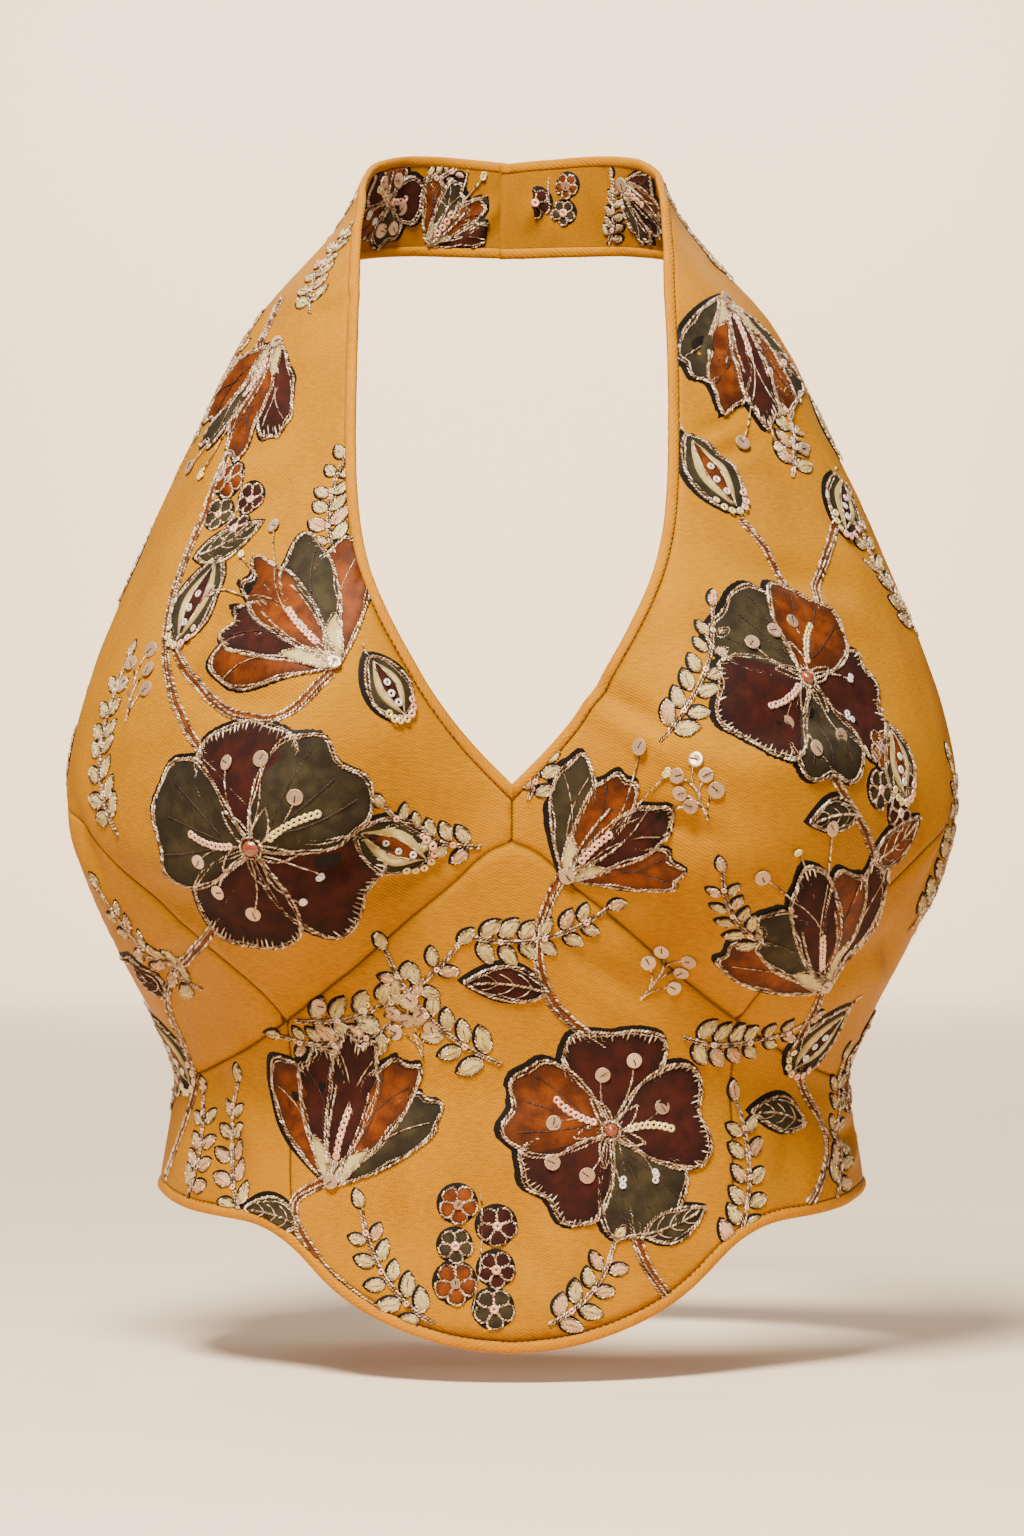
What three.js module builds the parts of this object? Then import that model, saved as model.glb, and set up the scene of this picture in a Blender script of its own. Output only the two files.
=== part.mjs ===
// A sleeveless halter neck top in lined cloth, standing open as if worn.
//
// Two bust panels meet in a V at the centre front, cover the cups and narrow into a band round the nape,
// where one end laps over the other. Below the underbust seam are a midriff with a rounded front hem and a
// low back band that laps at the centre back. A narrow binding finishes the neckline, the armholes and the
// hem.
//
// Units are millimetres and degrees. +Z is up, the front faces -Y and the wearer's left is +X. The origin is
// on the inside of the neck band at the nape, half way up the band.
//
// The cloth lies on one form. A place on it is an angle, from 0 at the centre front round to 180 at the
// centre back, and a height. Each seam and edge is a short table of such places.

import * as THREE from "three";

// Cloth and trims
const WALL = 1.4; // embroidered cloth and its lining
const BINDING_WIDTH = 4.2;
const BINDING_THICKNESS = 2.6;
const BINDING_SIDES = 6;
const SEAM_GAP = 0.3;

// The laps at the nape and the centre back: the wearer's right end lies outside the left one
const LAP_HALF_WIDTH = 5.5;
const LAP_STEP = 3; // how far the inner end stands in towards the wearer
const LAP_SLOPE_START = 22; // from the centre back, where the inner end begins to step in
const LAP_SLOPE_END = 6.5;

// The nape band's inner face, from the middle of the torso's depth
const NAPE_DEPTH = 66.6;

// Sections of the form from the neck down. halfWidth is the outside width across, halved. front, widest and
// back are the depths of the centre front, of the widest place and of the centre back, with + to the back.
const FORM = [
  { height: 24, halfWidth: 56, front: -44, widest: 12, back: 67 },
  { height: 0, halfWidth: 63.5, front: -50, widest: 11, back: 68 },
  { height: -22, halfWidth: 79, front: -58, widest: 9, back: 70 },
  { height: -42, halfWidth: 97, front: -69, widest: 6, back: 73 },
  { height: -63, halfWidth: 111, front: -79, widest: 2, back: 77 },
  { height: -95, halfWidth: 126, front: -92, widest: -6, back: 82 },
  { height: -135, halfWidth: 143.5, front: -107, widest: -17, back: 88 },
  { height: -175, halfWidth: 160, front: -120, widest: -30, back: 92 },
  { height: -205, halfWidth: 170, front: -128, widest: -38, back: 94 },
  { height: -240, halfWidth: 176.4, front: -132, widest: -46, back: 95 },
  { height: -275, halfWidth: 169.7, front: -127, widest: -45, back: 95 },
  { height: -305, halfWidth: 157, front: -119, widest: -34, back: 94 },
  { height: -336, halfWidth: 141.7, front: -110, widest: -17, back: 93 },
  { height: -350, halfWidth: 136.5, front: -107, widest: -10, back: 92 },
  { height: -357, halfWidth: 135.3, front: -106, widest: -8, back: 92 },
  { height: -366, halfWidth: 136.4, front: -107, widest: -6, back: 92 },
  { height: -405, halfWidth: 142.5, front: -110, widest: -4, back: 93 },
  { height: -460, halfWidth: 147, front: -114, widest: -4, back: 94 },
];

// The cup stands forward of the form by CUP_DEPTH times a share that depends on the height above the
// underbust seam, and it is fullest half way between the centre front and the side.
const CUP_DEPTH = 38;
const CUP_PROFILE = [
  { above: 0, share: 0 },
  { above: 16, share: 0.33 },
  { above: 34, share: 0.63 },
  { above: 55, share: 0.88 },
  { above: 82, share: 1 },
  { above: 108, share: 0.95 },
  { above: 136, share: 0.78 },
  { above: 165, share: 0.54 },
  { above: 195, share: 0.28 },
  { above: 225, share: 0.08 },
  { above: 255, share: 0 },
];

// The largest soft folds that the cloth is drawn into. Each runs from one place on the form to another, on
// the wearer's left (side 1) or right (side -1).
const FOLDS = [
  { side: -1, fromAngle: 8, fromHeight: -264, toAngle: 30, toHeight: -234, depth: 1.3, width: 6 },
  { side: -1, fromAngle: 40, fromHeight: -60, toAngle: 66, toHeight: -84, depth: 1, width: 7 },
  { side: -1, fromAngle: 48, fromHeight: -330, toAngle: 66, toHeight: -296, depth: 1, width: 7 },
  { side: 1, fromAngle: 14, fromHeight: -226, toAngle: 44, toHeight: -268, depth: 1.2, width: 9 },
  { side: 1, fromAngle: 40, fromHeight: -90, toAngle: 70, toHeight: -150, depth: 1, width: 8 },
  { side: 1, fromAngle: 56, fromHeight: -402, toAngle: 82, toHeight: -366, depth: 1.2, width: 7 },
];

// Where seams and edges meet, on one side of the garment
const PRINCESS_TOP = { angle: 106, height: -238 };
const PRINCESS_FOOT = { angle: 37.3, height: -330.5 };
const PRINCESS_HEM = { angle: 37.3, height: -417 };
const SIDE_TOP = { angle: 118.5, height: -288 };
const SIDE_WAIST = { angle: 98, height: -357 };
const SIDE_HEM = { angle: 97, height: -400 };

// Finished edges and seams, on one side of the garment
const NECKLINE = [
  { angle: 0, height: -238 },
  { angle: 7, height: -215.5 },
  { angle: 14, height: -186.5 },
  { angle: 20, height: -159.5 },
  { angle: 24, height: -136 },
  { angle: 28, height: -104 },
  { angle: 33, height: -65.5 },
  { angle: 40, height: -39 },
  { angle: 50, height: -22.5 },
  { angle: 62, height: -9 },
  { angle: 76, height: 3 },
  { angle: 92, height: 11 },
  { angle: 115, height: 18.5 },
  { angle: 145, height: 22 },
  { angle: 180, height: 19.5 },
];
const ARMHOLE = [
  { angle: 180, height: -19.5 },
  { angle: 155, height: -19 },
  { angle: 132, height: -20.5 },
  { angle: 116, height: -25 },
  { angle: 104, height: -33 },
  { angle: 96, height: -44 },
  { angle: 91, height: -59 },
  { angle: 89.5, height: -78 },
  { angle: 90, height: -106 },
  { angle: 92, height: -140 },
  { angle: 95.5, height: -172 },
  { angle: 100, height: -205 },
  { ...PRINCESS_TOP, name: "princess" },
  { angle: 112, height: -264 },
  { ...SIDE_TOP, name: "side" },
  { angle: 130, height: -298 },
  { angle: 146, height: -303 },
  { angle: 163, height: -305 },
  { angle: 180, height: -306 },
];
const UNDERBUST = [
  { angle: 0, height: -260 },
  { angle: 3, height: -264 },
  { angle: 7, height: -274.5 },
  { angle: 12, height: -286 },
  { angle: 20, height: -303 },
  { angle: 28, height: -317.5 },
  { ...PRINCESS_FOOT, name: "princess" },
  { angle: 46, height: -340 },
  { angle: 55, height: -347 },
  { angle: 65, height: -352.5 },
  { angle: 80, height: -356.5 },
  SIDE_WAIST,
];
const HEM = [
  { angle: 0, height: -457 },
  { angle: 8, height: -455 },
  { angle: 15.5, height: -450 },
  { angle: 23.5, height: -441.5 },
  { angle: 30, height: -431 },
  { ...PRINCESS_HEM, name: "princess" },
  { angle: 44, height: -410.5 },
  { angle: 52, height: -408.3 },
  { angle: 66, height: -406 },
  { angle: 80, height: -402.5 },
  { ...SIDE_HEM, name: "side" },
  { angle: 120, height: -399 },
  { angle: 150, height: -399 },
  { angle: 180, height: -399 },
];
const BUST_PRINCESS = [
  PRINCESS_FOOT,
  { angle: 41, height: -316 },
  { angle: 48, height: -300 },
  { angle: 54, height: -289 },
  { angle: 60, height: -278.5 },
  { angle: 67, height: -266 },
  { angle: 76, height: -254 },
  { angle: 90, height: -244 },
  PRINCESS_TOP,
];
const MIDRIFF_PRINCESS = [
  PRINCESS_HEM,
  { angle: 38.2, height: -392 },
  { angle: 38.9, height: -368 },
  { angle: 38.9, height: -350 },
  PRINCESS_FOOT,
];
const BUST_SIDE_SEAM = [
  SIDE_WAIST,
  { angle: 102, height: -338 },
  { angle: 110, height: -312 },
  SIDE_TOP,
];
const MIDRIFF_SIDE_SEAM = [SIDE_HEM, { angle: 97.5, height: -379 }, SIDE_WAIST];

// How many pieces each run is divided into. Two panels that share a seam divide it alike.
const STEPS = {
  centreSeam: 2,
  neckline: 32,
  princess: 8,
  armhole: 26,
  halfMidriff: 13,
  side: 9,
  midriff: 7,
  back: 11,
};

const COLOURS = { cloth: 0xc98a32, binding: 0xd2943c };

// A natural cubic spline through value[i] at at[i], carried on straight past its ends.
function spline(at, value) {
  const n = at.length;
  const bend = new Array(n).fill(0);
  const carry = new Array(n).fill(0);
  for (let i = 1; i < n - 1; i++) {
    const share = (at[i] - at[i - 1]) / (at[i + 1] - at[i - 1]);
    const p = share * bend[i - 1] + 2;
    const slopeAfter = (value[i + 1] - value[i]) / (at[i + 1] - at[i]);
    const slopeBefore = (value[i] - value[i - 1]) / (at[i] - at[i - 1]);
    bend[i] = (share - 1) / p;
    carry[i] = ((6 * (slopeAfter - slopeBefore)) / (at[i + 1] - at[i - 1]) - share * carry[i - 1]) / p;
  }
  bend[n - 1] = 0;
  for (let i = n - 2; i > 0; i--) bend[i] = bend[i] * bend[i + 1] + carry[i];
  bend[0] = 0;
  const slopeAt = (i, j) => {
    const span = at[j] - at[i];
    return (value[j] - value[i]) / span - (span * (2 * bend[i] + bend[j])) / 6;
  };
  return (t) => {
    if (t <= at[0]) return value[0] + (t - at[0]) * slopeAt(0, 1);
    if (t >= at[n - 1]) return value[n - 1] + (t - at[n - 1]) * slopeAt(n - 1, n - 2);
    let i = 0;
    while (at[i + 1] < t) i++;
    const span = at[i + 1] - at[i];
    const a = (at[i + 1] - t) / span;
    const b = 1 - a;
    const bulge = ((a ** 3 - a) * bend[i] + (b ** 3 - b) * bend[i + 1]) * (span ** 2 / 6);
    return a * value[i] + b * value[i + 1] + bulge;
  };
}

const column = (table, name) => table.map((row) => row[name]);
const fallingHeights = FORM.map((row) => -row.height);
function sectionColumn(name) {
  const lookUp = spline(fallingHeights, column(FORM, name));
  return (height) => lookUp(-height);
}
const section = {
  halfWidth: sectionColumn("halfWidth"),
  front: sectionColumn("front"),
  widest: sectionColumn("widest"),
  back: sectionColumn("back"),
};
const underbustHeight = spline(column(UNDERBUST, "angle"), column(UNDERBUST, "height"));
const cupShare = spline(column(CUP_PROFILE, "above"), column(CUP_PROFILE, "share"));
const CUP_REACH = CUP_PROFILE.at(-1).above;

const radians = THREE.MathUtils.degToRad;
const smooth = (t) => THREE.MathUtils.smoothstep(t, 0, 1);

// How far the cup stands forward of the form.
function cupForward(angle, height) {
  if (angle >= 90) return 0;
  const above = height - underbustHeight(angle);
  if (above <= 0 || above >= CUP_REACH) return 0;
  return CUP_DEPTH * cupShare(above) * Math.sin(Math.PI * Math.sin(radians(angle))) ** 2;
}

// How deep the soft folds are at a place.
function foldDepth(angle, height, side) {
  let depth = 0;
  for (const fold of FOLDS) {
    if (fold.side !== side) continue;
    const across = section.halfWidth(height);
    const place = [radians(angle) * across, height];
    const from = [radians(fold.fromAngle) * across, fold.fromHeight];
    const run = [radians(fold.toAngle) * across - from[0], fold.toHeight - from[1]];
    const length = Math.hypot(run[0], run[1]);
    const along = ((place[0] - from[0]) * run[0] + (place[1] - from[1]) * run[1]) / length ** 2;
    if (along <= 0 || along >= 1) continue;
    const off = ((place[0] - from[0]) * run[1] - (place[1] - from[1]) * run[0]) / length;
    depth += fold.depth * Math.sin(Math.PI * along) ** 2 * Math.exp(-((off / fold.width) ** 2));
  }
  return depth;
}

// A point on the cloth's outside. side is 1 on the wearer's left and -1 on the right.
function outside(angle, height, side) {
  const turn = radians(angle);
  const widest = section.widest(height);
  const reach = angle <= 90 ? widest - section.front(height) : section.back(height) - widest;
  const x = section.halfWidth(height) * Math.sin(turn);
  const y = widest - reach * Math.cos(turn) - cupForward(angle, height) + foldDepth(angle, height, side);
  return new THREE.Vector3(side * x, y - NAPE_DEPTH, height);
}

// The two directions along the cloth at a place, for one degree and for one millimetre of height, and the
// direction out of it.
function directions(angle, height, side) {
  const turned = outside(angle + 0.5, height, side).sub(outside(angle - 0.5, height, side));
  const raised = outside(angle, height + 0.5, side).sub(outside(angle, height - 0.5, side));
  const out = new THREE.Vector3().crossVectors(turned, raised).normalize().multiplyScalar(side);
  return { turned, raised, out };
}

// How far the wearer's left end stands in at a lap.
function lapInset(angle, height, side) {
  if (side < 0 || angle < 90) return 0;
  const fromCentre = section.halfWidth(height) * Math.sin(radians(angle));
  return LAP_STEP * smooth((LAP_SLOPE_START - fromCentre) / (LAP_SLOPE_START - LAP_SLOPE_END));
}

// A point of the cloth at a depth under its outside.
function clothPoint(place, side, depth) {
  const { out } = directions(place.angle, place.height, side);
  const inward = depth + lapInset(place.angle, place.height, side);
  return outside(place.angle, place.height, side).addScaledVector(out, -inward);
}

// A smooth line through a table of places, carried past the centre back to the end of its lap. It gives the
// places that divide it evenly between two named rows.
function line(table) {
  const rows = table.map((row) => ({ ...row }));
  for (const row of rows) {
    if (row.angle !== 180) continue;
    row.angle += THREE.MathUtils.radToDeg(Math.asin(LAP_HALF_WIDTH / section.halfWidth(row.height)));
  }
  const at = [0];
  for (let i = 1; i < rows.length; i++) {
    const a = outside(rows[i - 1].angle, rows[i - 1].height, 1);
    const b = outside(rows[i].angle, rows[i].height, 1);
    at.push(at[i - 1] + a.distanceTo(b));
  }
  const angleAt = spline(at, column(rows, "angle"));
  const heightAt = spline(at, column(rows, "height"));
  const named = (name) => at[rows.findIndex((row) => row.name === name)];
  const ends = { start: 0, end: at.at(-1) };
  return (from, to, steps) => {
    const a = ends[from] ?? named(from);
    const b = ends[to] ?? named(to);
    return Array.from({ length: steps + 1 }, (_, i) => {
      const t = a + ((b - a) * i) / steps;
      return { angle: angleAt(t), height: heightAt(t) };
    });
  };
}

// The places at a distance to the left of a run, as it is walked with the outside of the cloth towards the
// walker, on the wearer's left. An end on the centre front stays on it.
function beside(run, distance) {
  return run.map((place, i) => {
    const before = run[Math.max(i - 1, 0)];
    const after = run[Math.min(i + 1, run.length - 1)];
    const { turned, raised, out } = directions(place.angle, place.height, 1);
    const along = new THREE.Vector3()
      .addScaledVector(turned, after.angle - before.angle)
      .addScaledVector(raised, after.height - before.height)
      .normalize();
    const across = new THREE.Vector3().crossVectors(out, along).normalize();
    if (place.angle === 0) {
      const rise = (Math.sign(across.z) * distance) / along.x;
      return { angle: 0, height: place.height + rise };
    }
    const tt = turned.dot(turned);
    const tr = turned.dot(raised);
    const rr = raised.dot(raised);
    const et = across.dot(turned) * distance;
    const er = across.dot(raised) * distance;
    const det = tt * rr - tr * tr;
    return {
      angle: place.angle + (et * rr - er * tr) / det,
      height: place.height + (er * tt - et * tr) / det,
    };
  });
}

function blend(a, b, t) {
  return { angle: a.angle + (b.angle - a.angle) * t, height: a.height + (b.height - a.height) * t };
}

const straight = (from, to, steps) => Array.from({ length: steps + 1 }, (_, i) => blend(from, to, i / steps));

// A grid of places that fills the space between four runs. left and right start where bottom does, and end
// where top does.
function patch({ bottom, top, left, right }) {
  return left.map((_, j) => {
    const v = j / (left.length - 1);
    return bottom.map((_, i) => {
      const u = i / (bottom.length - 1);
      const across = blend(left[j], right[j], u);
      const up = blend(bottom[i], top[i], v);
      const corners = blend(
        blend(bottom[0], bottom.at(-1), u),
        blend(top[0], top.at(-1), u),
        v,
      );
      return {
        angle: across.angle + up.angle - corners.angle,
        height: across.height + up.height - corners.height,
      };
    });
  });
}

// Draws a place in, towards the next one inside it, so that a seam is open by SEAM_GAP where it runs askew
// too.
const DRAW_IN = 0.85 * SEAM_GAP;
function drawn(place, inner) {
  const a = outside(place.angle, place.height, 1);
  const b = outside(inner.angle, inner.height, 1);
  return blend(place, inner, DRAW_IN / a.distanceTo(b));
}

// Draws both ends of a run in, to part it from its neighbours.
function shortened(run) {
  const last = run.length - 1;
  return [drawn(run[0], run[1]), ...run.slice(1, last), drawn(run[last], run[last - 1])];
}

// Draws a grid's border in, to part it from its neighbours.
function parted(grid) {
  const rows = grid.map(shortened);
  const last = rows.length - 1;
  const first = rows[0].map((place, i) => drawn(place, rows[1][i]));
  const end = rows[last].map((place, i) => drawn(place, rows[last - 1][i]));
  return [first, ...rows.slice(1, last), end];
}

function volumeOf(points, faces) {
  const cross = new THREE.Vector3();
  let sum = 0;
  for (const [a, b, c] of faces) sum += points[a].dot(cross.crossVectors(points[b], points[c])) / 6;
  return sum;
}

// A closed mesh. Every face is turned round where it came out inside out, as a mirrored half does.
function closedMesh(points, faces) {
  const inverted = volumeOf(points, faces) < 0;
  const made = new THREE.BufferGeometry();
  made.setAttribute("position", new THREE.Float32BufferAttribute(points.flatMap((p) => [p.x, p.y, p.z]), 3));
  made.setIndex(faces.flatMap(([a, b, c]) => (inverted ? [a, c, b] : [a, b, c])));
  made.computeVertexNormals();
  return made;
}

// A closed wall of cloth over a grid of places. sideOf gives the side of each column. Each cell is split
// along its shorter diagonal, alike outside and inside.
function wall(grid, sideOf) {
  const rows = grid.length;
  const columns = grid[0].length;
  const points = [];
  for (const depth of [0, WALL]) {
    for (const row of grid) row.forEach((place, i) => points.push(clothPoint(place, sideOf(i), depth)));
  }
  const inside = rows * columns;
  const at = (j, i) => j * columns + i;
  const faces = [];
  for (let j = 0; j < rows - 1; j++) {
    for (let i = 0; i < columns - 1; i++) {
      const cell = [at(j, i), at(j, i + 1), at(j + 1, i + 1), at(j + 1, i)];
      const corners = cell.map((k) => points[k]);
      const turned = corners[0].distanceTo(corners[2]) > corners[1].distanceTo(corners[3]);
      if (turned) cell.push(cell.shift());
      const [a, b, c, d] = cell;
      faces.push([a, b, c], [a, c, d]);
      faces.push([a, c, b].map((k) => k + inside), [a, d, c].map((k) => k + inside));
    }
  }
  const rim = [];
  for (let i = 0; i < columns - 1; i++) rim.push([0, i]);
  for (let j = 0; j < rows - 1; j++) rim.push([j, columns - 1]);
  for (let i = columns - 1; i > 0; i--) rim.push([rows - 1, i]);
  for (let j = rows - 1; j > 0; j--) rim.push([j, 0]);
  rim.forEach(([j, i], k) => {
    const [nextJ, nextI] = rim[(k + 1) % rim.length];
    const [a, b] = [at(j, i), at(nextJ, nextI)];
    faces.push([a, b + inside, b], [a, a + inside, b + inside]);
  });
  return closedMesh(points, faces);
}

// A closed rounded strip of binding between a finished edge and the run of stitches beside it.
function strip(edge, stitched, sideOf) {
  const points = [];
  edge.forEach((place, k) => {
    const side = sideOf(k);
    const near = clothPoint(place, side, WALL / 2);
    const far = clothPoint(stitched[k], side, WALL / 2);
    const middle = near.clone().lerp(far, 0.5);
    const across = far.clone().sub(middle);
    const { out } = directions(place.angle, place.height, side);
    for (let s = 0; s < BINDING_SIDES; s++) {
      const turn = (2 * Math.PI * (s + 0.5)) / BINDING_SIDES;
      const [cos, sin] = [Math.cos(turn), Math.sin(turn)];
      const fuller = 1 / Math.sqrt(Math.max(Math.abs(cos), Math.abs(sin)));
      const point = middle.clone().addScaledVector(across, cos * fuller);
      points.push(point.addScaledVector(out, (sin * fuller * BINDING_THICKNESS) / 2));
    }
  });
  const faces = [];
  const last = edge.length - 1;
  for (let k = 0; k < last; k++) {
    for (let s = 0; s < BINDING_SIDES; s++) {
      const t = (s + 1) % BINDING_SIDES;
      const [a, b] = [k * BINDING_SIDES + s, k * BINDING_SIDES + t];
      faces.push([a, b, b + BINDING_SIDES], [a, b + BINDING_SIDES, a + BINDING_SIDES]);
    }
  }
  const lastRing = last * BINDING_SIDES;
  for (let s = 1; s < BINDING_SIDES - 1; s++) {
    faces.push([0, s + 1, s]);
    faces.push([lastRing, lastRing + s, lastRing + s + 1]);
  }
  return closedMesh(points, faces);
}

const top = new THREE.Group();
top.name = "halter_neck_top";

function add(name, made, colour) {
  const material = new THREE.MeshStandardMaterial({ color: colour, roughness: 0.6, metalness: 0 });
  const mesh = new THREE.Mesh(made, material);
  mesh.name = name;
  top.add(mesh);
}

// Runs along the edges and seams of one side
const necklineLine = line(NECKLINE);
const armholeLine = line(ARMHOLE);
const hemLine = line(HEM);
const underbustLine = line(UNDERBUST);
const onlyRun = (table, steps) => line(table)("start", "end", steps);

const neckEdge = necklineLine("start", "end", STEPS.neckline);
const neckStitch = beside(neckEdge, -BINDING_WIDTH);

const armholeEdge = [
  ...armholeLine("start", "princess", STEPS.armhole),
  ...armholeLine("princess", "side", STEPS.side).slice(1),
  ...armholeLine("side", "end", STEPS.back).slice(1),
];
const armholeStitch = beside(armholeEdge, -BINDING_WIDTH);

const hemEdge = [
  ...hemLine("start", "princess", STEPS.halfMidriff),
  ...hemLine("princess", "side", STEPS.side).slice(1),
  ...hemLine("side", "end", STEPS.back).slice(1),
];
const hemStitch = beside(hemEdge, BINDING_WIDTH);

const underbustCentre = underbustLine("start", "princess", STEPS.halfMidriff);
const underbustSide = underbustLine("princess", "end", STEPS.side);

const reversed = (run) => [...run].reverse();

// Replaces the end of a seam that meets a bound edge by the place on that edge's stitches.
const endedAt = (run, place) => {
  const last = run.at(-1);
  return run.map((row, i) => {
    const share = (i / (run.length - 1)) ** 3;
    return {
      angle: row.angle + (place.angle - last.angle) * share,
      height: row.height + (place.height - last.height) * share,
    };
  });
};

const armholeToPrincess = armholeStitch.slice(0, STEPS.armhole + 1);
const princessToSide = armholeStitch.slice(STEPS.armhole, STEPS.armhole + STEPS.side + 1);
const sideToBack = armholeStitch.slice(STEPS.armhole + STEPS.side);
const hemCentre = hemStitch.slice(0, STEPS.halfMidriff + 1);
const hemSide = hemStitch.slice(STEPS.halfMidriff, STEPS.halfMidriff + STEPS.side + 1);
const hemBack = hemStitch.slice(STEPS.halfMidriff + STEPS.side);

const bustPrincess = endedAt(onlyRun(BUST_PRINCESS, STEPS.princess), princessToSide[0]);
const bustSideSeam = endedAt(onlyRun(BUST_SIDE_SEAM, STEPS.princess), sideToBack[0]);
const midriffPrincess = reversed(endedAt(reversed(onlyRun(MIDRIFF_PRINCESS, STEPS.midriff)), hemSide[0]));
const midriffSideSeam = reversed(endedAt(reversed(onlyRun(MIDRIFF_SIDE_SEAM, STEPS.midriff)), hemBack[0]));

const centreSeam = straight(underbustCentre[0], neckStitch[0], STEPS.centreSeam);

const necklineUp = [...centreSeam, ...neckStitch.slice(1)];
const armholeUp = [...bustPrincess, ...reversed(armholeToPrincess).slice(1)];

const bandEnd = straight(necklineUp.at(-1), armholeUp.at(-1), STEPS.halfMidriff);
const bustGrid = parted(patch({ bottom: underbustCentre, top: bandEnd, left: necklineUp, right: armholeUp }));
const bustSideGrid = parted(
  patch({ bottom: underbustSide, top: princessToSide, left: bustPrincess, right: bustSideSeam }),
);
const midriffSideGrid = parted(
  patch({ bottom: hemSide, top: underbustSide, left: midriffPrincess, right: midriffSideSeam }),
);
const sideSeamUp = [...midriffSideSeam, ...bustSideSeam.slice(1)];
const backLapUp = straight(hemBack.at(-1), sideToBack.at(-1), STEPS.midriff + STEPS.princess);
const backGrid = parted(patch({ bottom: hemBack, top: sideToBack, left: sideSeamUp, right: backLapUp }));

// The centre midriff panel covers both sides: its columns run from the wearer's right to the left.
const mirroredRun = (run) => [...reversed(run), ...run.slice(1)];
const midriffHalf = patch({
  bottom: hemCentre,
  top: underbustCentre,
  left: straight(hemCentre[0], underbustCentre[0], STEPS.midriff),
  right: midriffPrincess,
});
const midriffGrid = parted(midriffHalf.map(mirroredRun));

const neckBindingSeam = beside(neckEdge, SEAM_GAP - BINDING_WIDTH);
const armholeBindingSeam = beside(armholeEdge, SEAM_GAP - BINDING_WIDTH);
const hemBindingSeam = beside(hemEdge, BINDING_WIDTH - SEAM_GAP);

for (const [name, side] of Object.entries({ right: -1, left: 1 })) {
  const sideOf = () => side;
  add(`bust_${name}`, wall(bustGrid, sideOf), COLOURS.cloth);
  add(`bust_side_${name}`, wall(bustSideGrid, sideOf), COLOURS.cloth);
  add(`midriff_side_${name}`, wall(midriffSideGrid, sideOf), COLOURS.cloth);
  add(`back_${name}`, wall(backGrid, sideOf), COLOURS.cloth);
  const neckBinding = strip(shortened(neckEdge), shortened(neckBindingSeam), sideOf);
  add(`neck_binding_${name}`, neckBinding, COLOURS.binding);
  add(`armhole_binding_${name}`, strip(armholeEdge, armholeBindingSeam, sideOf), COLOURS.binding);
}
add("midriff_centre", wall(midriffGrid, (i) => (i < STEPS.halfMidriff ? -1 : 1)), COLOURS.cloth);
add(
  "hem_binding",
  strip(mirroredRun(hemEdge), mirroredRun(hemBindingSeam), (k) => (k < hemEdge.length - 1 ? -1 : 1)),
  COLOURS.binding,
);

export default top;
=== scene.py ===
"""A halter neck top in marigold satin, with flowers of applied cloth, couched thread and sequins.

The cloth lies on one form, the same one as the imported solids. A place on it is an angle in degrees and a
height. The angle is 0 at the centre front, 180 at the centre back and negative on the wearer's right.
Flat motifs are laid on the form by walking out over it, so that they keep their size and shape round the
sides. Lengths are in millimetres until a mesh is made.
"""

import math

import bpy
import numpy as np
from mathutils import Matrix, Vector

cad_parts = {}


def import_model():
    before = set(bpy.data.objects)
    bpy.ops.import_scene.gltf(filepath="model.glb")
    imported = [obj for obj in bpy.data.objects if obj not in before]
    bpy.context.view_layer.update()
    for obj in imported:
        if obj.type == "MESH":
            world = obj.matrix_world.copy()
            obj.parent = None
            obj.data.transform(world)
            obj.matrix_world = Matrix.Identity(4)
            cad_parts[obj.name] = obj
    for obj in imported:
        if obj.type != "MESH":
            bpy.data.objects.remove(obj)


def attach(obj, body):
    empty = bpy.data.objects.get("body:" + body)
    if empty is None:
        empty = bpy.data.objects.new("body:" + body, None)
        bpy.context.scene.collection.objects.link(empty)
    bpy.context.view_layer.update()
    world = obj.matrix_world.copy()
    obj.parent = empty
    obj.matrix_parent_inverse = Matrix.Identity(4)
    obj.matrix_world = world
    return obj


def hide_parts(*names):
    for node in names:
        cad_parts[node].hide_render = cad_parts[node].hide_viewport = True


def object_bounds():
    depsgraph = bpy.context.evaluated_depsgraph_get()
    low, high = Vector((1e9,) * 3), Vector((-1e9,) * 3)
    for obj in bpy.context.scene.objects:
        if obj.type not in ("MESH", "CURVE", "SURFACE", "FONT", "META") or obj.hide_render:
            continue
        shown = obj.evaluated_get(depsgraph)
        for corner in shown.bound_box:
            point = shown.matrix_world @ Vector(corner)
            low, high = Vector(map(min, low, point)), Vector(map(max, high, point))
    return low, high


MM = 0.001
RNG = np.random.default_rng(7)

# Cloth and trims
WALL = 1.4
BINDING_WIDTH = 4.2
BINDING_THICKNESS = 3.0
BINDING_LAP = 0.25  # a binding covers the edge of its panel by this much
LAP_HALF_WIDTH = 5.5
LAP_STEP = 3
LAP_SLOPE = (6.5, 22)
NAPE_DEPTH = 66.6
CUP_DEPTH = 38

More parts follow.
